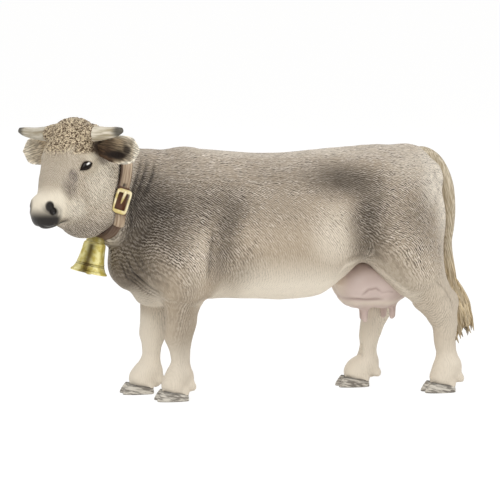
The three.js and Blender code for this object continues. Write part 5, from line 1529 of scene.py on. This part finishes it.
def make_strap():
    """The strap's section is a rounded bar, carried along the oval of the collar for one turn and once over
    itself: across by the strap's width, out by its thickness times (1 - |s|^p)^(1/p)."""
    steps, sides = 560, 48
    turns = np.linspace(tip_turn, strap_end_turn + 360, steps)
    rise = layer_step * ease((strap_end_turn + layer_drop_turn * 1.25 - turns) / layer_drop_turn) + fit_gap
    a = circle(sides)
    across, out = squarish(np.cos(a), 2 / 5.5), squarish(np.sin(a), 2 / 3.2)
    share = np.linspace(0, 1, steps)
    from_tip = share * (steps - 1) * (turns[1] - turns[0]) * math.pi / 180 * collar_half[0]
    narrow = np.clip(1 - np.clip(1 - from_tip / 0.5, 0, 1) ** 3, 0.4, 1)
    off_buckle = np.abs(turns - buckle_turn) * math.pi / 180 * bend_radius
    behind = ease((buckle_length / 2 - off_buckle) / 0.4)
    width = across[None] * (narrow * (1.1 + 0.14 * behind))[:, None] * strap_width / 2
    thick = 0.5 + out[None] * 0.5
    height = rise[:, None] + thick * strap_thickness
    outer = np.clip(out, 0, 1)[None]
    edge_line = np.exp(-((np.abs(width) - strap_width / 2 + 0.38) / 0.1) ** 2) * outer
    height = height - 0.07 * edge_line
    gap = np.hypot((turns[:, None] - buckle_turn - 18.5) * math.pi / 180 * bend_radius, width)
    # Shallow holes, painted near-black as shade
    hole = hump(gap, 0, 0.36, 4) * outer
    height = height - 0.5 * hole
    points = on_collar(np.broadcast_to(turns[:, None], height.shape), height, width)[0]
    tube, faces = closed_tube(swayed(points))
    # Painted shade on the strap's edges
    edge = ease((np.abs(across)[None] * np.ones((steps, 1)) - 0.86) / 0.14)
    # Painted shade on the lower layer, and a painted shadow under the tip
    lower = ease((turns - 240) / 25) * ease((strap_end_turn + 360 - turns) / 3 + 1)
    tip_shadow = np.exp(-np.clip((turns - tip_turn - 360) / 3, -3, 3) ** 2)
    under = np.clip(lower * 0.9 + tip_shadow, 0, 1)[:, None] * np.ones((1, sides))
    # Painted shade in the buckle's window
    window = ease((buckle_length / 2 - 0.1 - off_buckle) / 0.4)[:, None] * outer
    # Painted shadow along the front edge, against the cheek
    front_edge = ease((width - strap_width / 2 + 0.5 + 0.45 * lower[:, None]) / 0.4)
    ends = lambda v: np.concatenate([v.reshape(-1), [0, 0]])  # and the two end caps
    lay = np.stack([np.broadcast_to(turns[:, None] * 0.00018, height.shape).reshape(-1),
                    (width * metre).reshape(-1), np.zeros(height.size)], -1)
    lay = np.concatenate([lay, lay[:1], lay[-1:]])
    return new_piece("collar_strap_painted", tube, faces, ["collar_strap"], "leather_look", leather_finish,
                     {"edge": np.maximum(ends(edge) * 0.7, ends(front_edge) * 0.85), "hole": ends(hole),
                      "deep": ends(under) * 0.85, "window": ends(window) * 0.92},
                     {"lay": lay})


def make_buckle():
    """The frame is a rounded bar carried round a rectangle with round corners. The prong is a round bar that
    hangs from its top and lies on the strap."""
    at, along, across, outward = buckle_axes()
    half = np.array([buckle_length + 0.5, buckle_width]) / 2 - buckle_bar / 2
    steps, sides = 160, 24
    line, square = squared_loop(half, 2 / 7, steps, steps)
    a = circle(sides)
    r = buckle_bar / 2
    flatter, wide = squarish(np.sin(a), 0.7), squarish(np.cos(a), 0.7)
    stout = 0.78 + 0.5 * ease((np.abs(line[:, 0]) - half[0] + 0.6) / 0.5)
    ring = line[:, None] + square[:, None] * (stout[:, None] * wide[None] * r)[..., None]
    high = np.broadcast_to((flatter * r + r)[None], ring.shape[:2])
    points = at + ring[..., :1] * along + ring[..., 1:] * across + high[..., None] * outward
    hang = swayed(at) - at
    frame_points = points.reshape(-1, 3) + hang
    faces = facing_out(frame_points, grid_faces(steps, sides, closed_rows=True))
    # Painted shade on the frame's underside, where it lies on the strap
    recess = np.clip(1 - (high / (2 * r)) * 2.6, 0, 1).reshape(-1)
    gold = gold_finish("pale gold painted PVC", "#d6c27e", "#f5e9c2", "#5b431c")
    new_piece("buckle_frame_painted", frame_points, faces, ["buckle_frame"], "gold_paint", gold, {"recess": recess})
    reach = buckle_length / 2 - buckle_bar - 0.3
    prong = 0.35
    spots = [(reach + 0.9, prong * 2.6), (reach + 0.2, prong * 2.9), (reach * 0.4, prong * 1.9),
             (-reach * 0.25, prong)]
    line = [at + hang + x * along + z * outward for x, z in spots]
    bar, bar_faces = tapered_bar(line, [0.42, 0.42, 0.34, 0.18], 40, 20, neck.forward)
    new_piece("buckle_prong_painted", bar, bar_faces, ["buckle_prong"], "gold_paint", gold,
              {"recess": np.zeros(len(bar))})


# The bell

bell_height, bell_mouth, bell_crown, bell_recess, bell_wall = 8.8, 10.4, 6.2, 3.2, 1.0
tilt = math.radians(13)
bell_up = up * math.cos(tilt) - animal.forward * math.sin(tilt)
throat_at, throat_out, _ = on_collar(throat_turn, fit_gap + strap_thickness, 0.0)
# Turn about the bell's upright where the dark runs of painted reflection are centred
wash_turn = math.radians(64)
bell = Axes(swayed(throat_at + throat_out * (fit_gap + staple_wire / 2)), np.cross(animal.left, bell_up), bell_up)


def turned_piece(outline, sides):
    """A revolve about the bell's own upright: each outline point gives a radius and a height."""
    outline = np.asarray(outline, float)
    a = circle(sides)
    r, h = outline[:, :1], outline[:, 1:]
    return bell.at(r * np.cos(a), r * np.sin(a), h * np.ones_like(a))


def make_bell(gold):
    """The bell's outline runs over the crown, down a flaring waist with two turned lines, round the thick lip
    and up into the hollow. Depth is a share of the height."""
    waist = [(-0.03, 0.0), (-0.028, 0.3), (-0.012, 0.62), (0.01, 0.84), (0.038, 0.95), (0.075, 1.0),
             (0.16, 1.025), (0.3, 1.06), (0.42, 1.11), (0.52, 1.155), (0.6, 1.2), (0.655, 1.235)]
    crown = [(r * bell_crown / 2, -d * bell_height) for d, r in waist]
    lip = [(0.69, 0.76586), (0.705, 0.73308), (0.722, 0.745), (0.74, 0.79), (0.756, 0.775), (0.772, 0.785),
           (0.80, 0.81), (0.85, 0.85), (0.9, 0.9), (0.93, 0.955), (0.955, 0.985), (0.975, 1.0), (0.99, 0.995),
           (1.0, 0.965)]
    flare = [(r * bell_mouth / 2, -d * bell_height) for d, r in lip]
    inner = bell_mouth / 2 - bell_wall
    top = -bell_height + bell_recess
    hollow = [(inner, -bell_height + 0.02), (inner - 0.35, -bell_height + 0.9), (inner - 0.9, top + 0.4),
              (inner - 1.6, top), (0.6, top), (0.02, top)]
    fine = evenly(np.array(crown + flare + hollow), 150)
    shell = closed_tube(turned_piece(fine, 96))
    neck_line = [swayed(throat_at + throat_out * 0.12), bell.at(0, 0, -0.9), bell.at(0, 0, -2.0)]
    boss = tapered_bar(neck_line, [2.5, 2.75, 2.2], 16, 40, neck.forward)
    points, faces = join([shell, boss])
    d = -fine[:, 1] / bell_height
    # Painted shade in the two turned grooves and inside the bell
    grooves = hump(d, 0.705, 0.012) + hump(d, 0.756, 0.012)
    inside = (np.arange(len(fine)) > 0.8 * len(fine)).astype(float)
    a = circle(96)[None]
    # Dark runs of painted reflection down the bell's side
    runs = np.zeros_like(a)
    for turned_by, reach, amount in ((0, 0.34, 1.0), (2.2, 0.3, 0.6), (-2.3, 0.3, 0.6)):
        off = np.mod(a - wash_turn - turned_by + np.pi, 2 * np.pi) - np.pi
        runs = np.maximum(runs, amount * hump(off, 0, reach))
    recess = (grooves * 0.8 + inside * 0.55)[:, None] + runs * 0.93 * ease((d[:, None] - 0.02) / 0.1)
    # The boss under the staple gets painted shade too
    recess = np.clip(np.concatenate([recess.ravel(), [0.3, 0.6], np.full(len(boss[0]), 0.45)]), 0, 1)
    new_piece("bell_painted", points, faces, ["bell"], "gold_paint", gold, {"recess": recess})
    ball_radius = 1.7
    middle = -bell_height - 0.5 + ball_radius
    t = np.linspace(0, np.pi, 24)
    ball = np.stack([np.sin(t) * ball_radius, middle - np.cos(t) * ball_radius], -1)
    ball[[0, -1], 0] = 0.02
    stem = [(0.02, middle), (0.7, middle + 1.0), (0.62, middle + 1.8), (0.62, top + 1.2), (0.02, top + 1.2)]
    clapper = join([closed_tube(turned_piece(ball, 40)), closed_tube(turned_piece(stem, 24))])
    # The clapper is painted darker, as shade inside the bell
    new_piece("clapper_painted", *clapper, ["clapper"], "gold_paint", gold,
              {"recess": np.full(len(clapper[0]), 0.35)})


def make_staple(gold):
    """The staple is a round wire carried round a squarish loop about the strap at the throat."""
    half_width = strap_width / 2 + fit_gap + staple_wire / 2
    half_height = (strap_thickness + staple_wire) / 2 + fit_gap
    centre, outward, along = on_collar(throat_turn, fit_gap + strap_thickness / 2, 0.0)
    loop, square = squared_loop((half_width, half_height), 2 / 5, 96, 400)
    a = circle(20)
    ring = loop[:, None] + square[:, None] * (np.cos(a) * staple_wire / 2)[None, :, None]
    lift = np.broadcast_to((np.sin(a) * staple_wire / 2)[None], ring.shape[:2])
    points = centre + ring[..., :1] * neck.forward + ring[..., 1:] * outward + lift[..., None] * along
    points = swayed(points.reshape(-1, 3))
    faces = facing_out(points, grid_faces(96, 20, closed_rows=True))
    new_piece("bell_staple_painted", points, faces, ["bell_staple"], "gold_paint", gold,
              {"recess": np.full(len(points), 0.12)})


# The set and the light


def aimed(name, data, at, target):
    """A lamp or the camera, put at a place and pointed at a target."""
    made = put(name, data)
    made.location = at
    made.rotation_mode = "QUATERNION"
    made.rotation_quaternion = (Vector(target) - made.location).to_track_quat("-Z", "Y")
    return made


def make_set():
    """White studio: a bright world, a paper floor that glows to the camera, and three square lamps."""
    world = bpy.data.worlds.new("studio")
    bpy.context.scene.world = world
    tree = cleared(world)
    seen = add(tree, "Math", {"operation": "MAXIMUM"}, {0: add(tree, "LightPath", {}, {}, "Is Camera Ray"),
                                                        1: add(tree, "LightPath", {}, {}, "Is Transmission Ray")})
    soft = add(tree, "Background", {}, {"Color": paint("#fbfaf8"), "Strength": 0.62})
    white = add(tree, "Background", {}, {"Color": paint("#ffffff"), "Strength": 1.0})
    add(tree, "OutputWorld", {}, {"Surface": add(tree, "MixShader", {}, {0: seen, 1: soft, 2: white})})

    floor_mesh = bpy.data.meshes.new("floor")
    reach = 20.0
    floor_mesh.from_pydata([(-reach, -reach, 0), (reach, -reach, 0), (reach, reach, 0), (-reach, reach, 0)], [],
                           [(0, 1, 2, 3)])
    floor = put("floor", floor_mesh)
    material = bpy.data.materials.new("matt white paper floor")
    tree = cleared(material)
    seen = add(tree, "Math", times, {0: add(tree, "LightPath", {}, {}, "Is Camera Ray"), 1: 0.82})
    paper = add(tree, "BsdfDiffuse", {}, {"Color": paint("#f6f5f3")})
    glow = add(tree, "Emission", {}, {"Color": paint("#ffffff"), "Strength": 1.09})
    add(tree, "OutputMaterial", {}, {"Surface": add(tree, "MixShader", {}, {0: seen, 1: paper, 2: glow})})
    floor_mesh.materials.append(material)
    for name, at, size, power in (("key", (-0.35, -0.75, 0.85), 0.7, 7.0), ("fill", (0.9, -0.5, 0.45), 0.8, 2.3),
                                  ("back", (0.1, 0.8, 0.9), 0.8, 3.0)):
        data = bpy.data.lights.new(name, "AREA")
        data.shape = "SQUARE"
        data.size = size
        data.energy = power
        aimed(name, data, at, (0, 0, 0.04))


def make_camera():
    """The photograph's view: a long lens, a little from the front left and from above."""
    azimuth, elevation, distance = math.radians(-14), math.radians(5), 0.9
    target = np.array([-0.00037, 0.00504, 0.0407])
    back = np.array([math.sin(azimuth) * math.cos(elevation), -math.cos(azimuth) * math.cos(elevation),
                     math.sin(elevation)])
    data = bpy.data.cameras.new("camera")
    data.sensor_width = 36
    data.lens = 229.4
    data.clip_start = 0.01
    bpy.context.scene.camera = aimed("camera", data, target + back * distance, target)


make_camera()
make_set()
make_hide(0.5)
make_hooves()
make_head(0.25)
make_eyes()
make_horns()
make_ears()
make_tail()
make_udder(0.35)
make_strap()
make_buckle()
gold_paint = gold_finish("bright gold painted PVC", "#d9c763", "#fdf4b0", "#4a3702")
make_bell(gold_paint)
make_staple(gold_paint)

bpy.context.scene.view_settings.view_transform = "Standard"


def box_lists(box):
    """A box as plain lists."""
    return [[float(v) for v in corner] for corner in box]
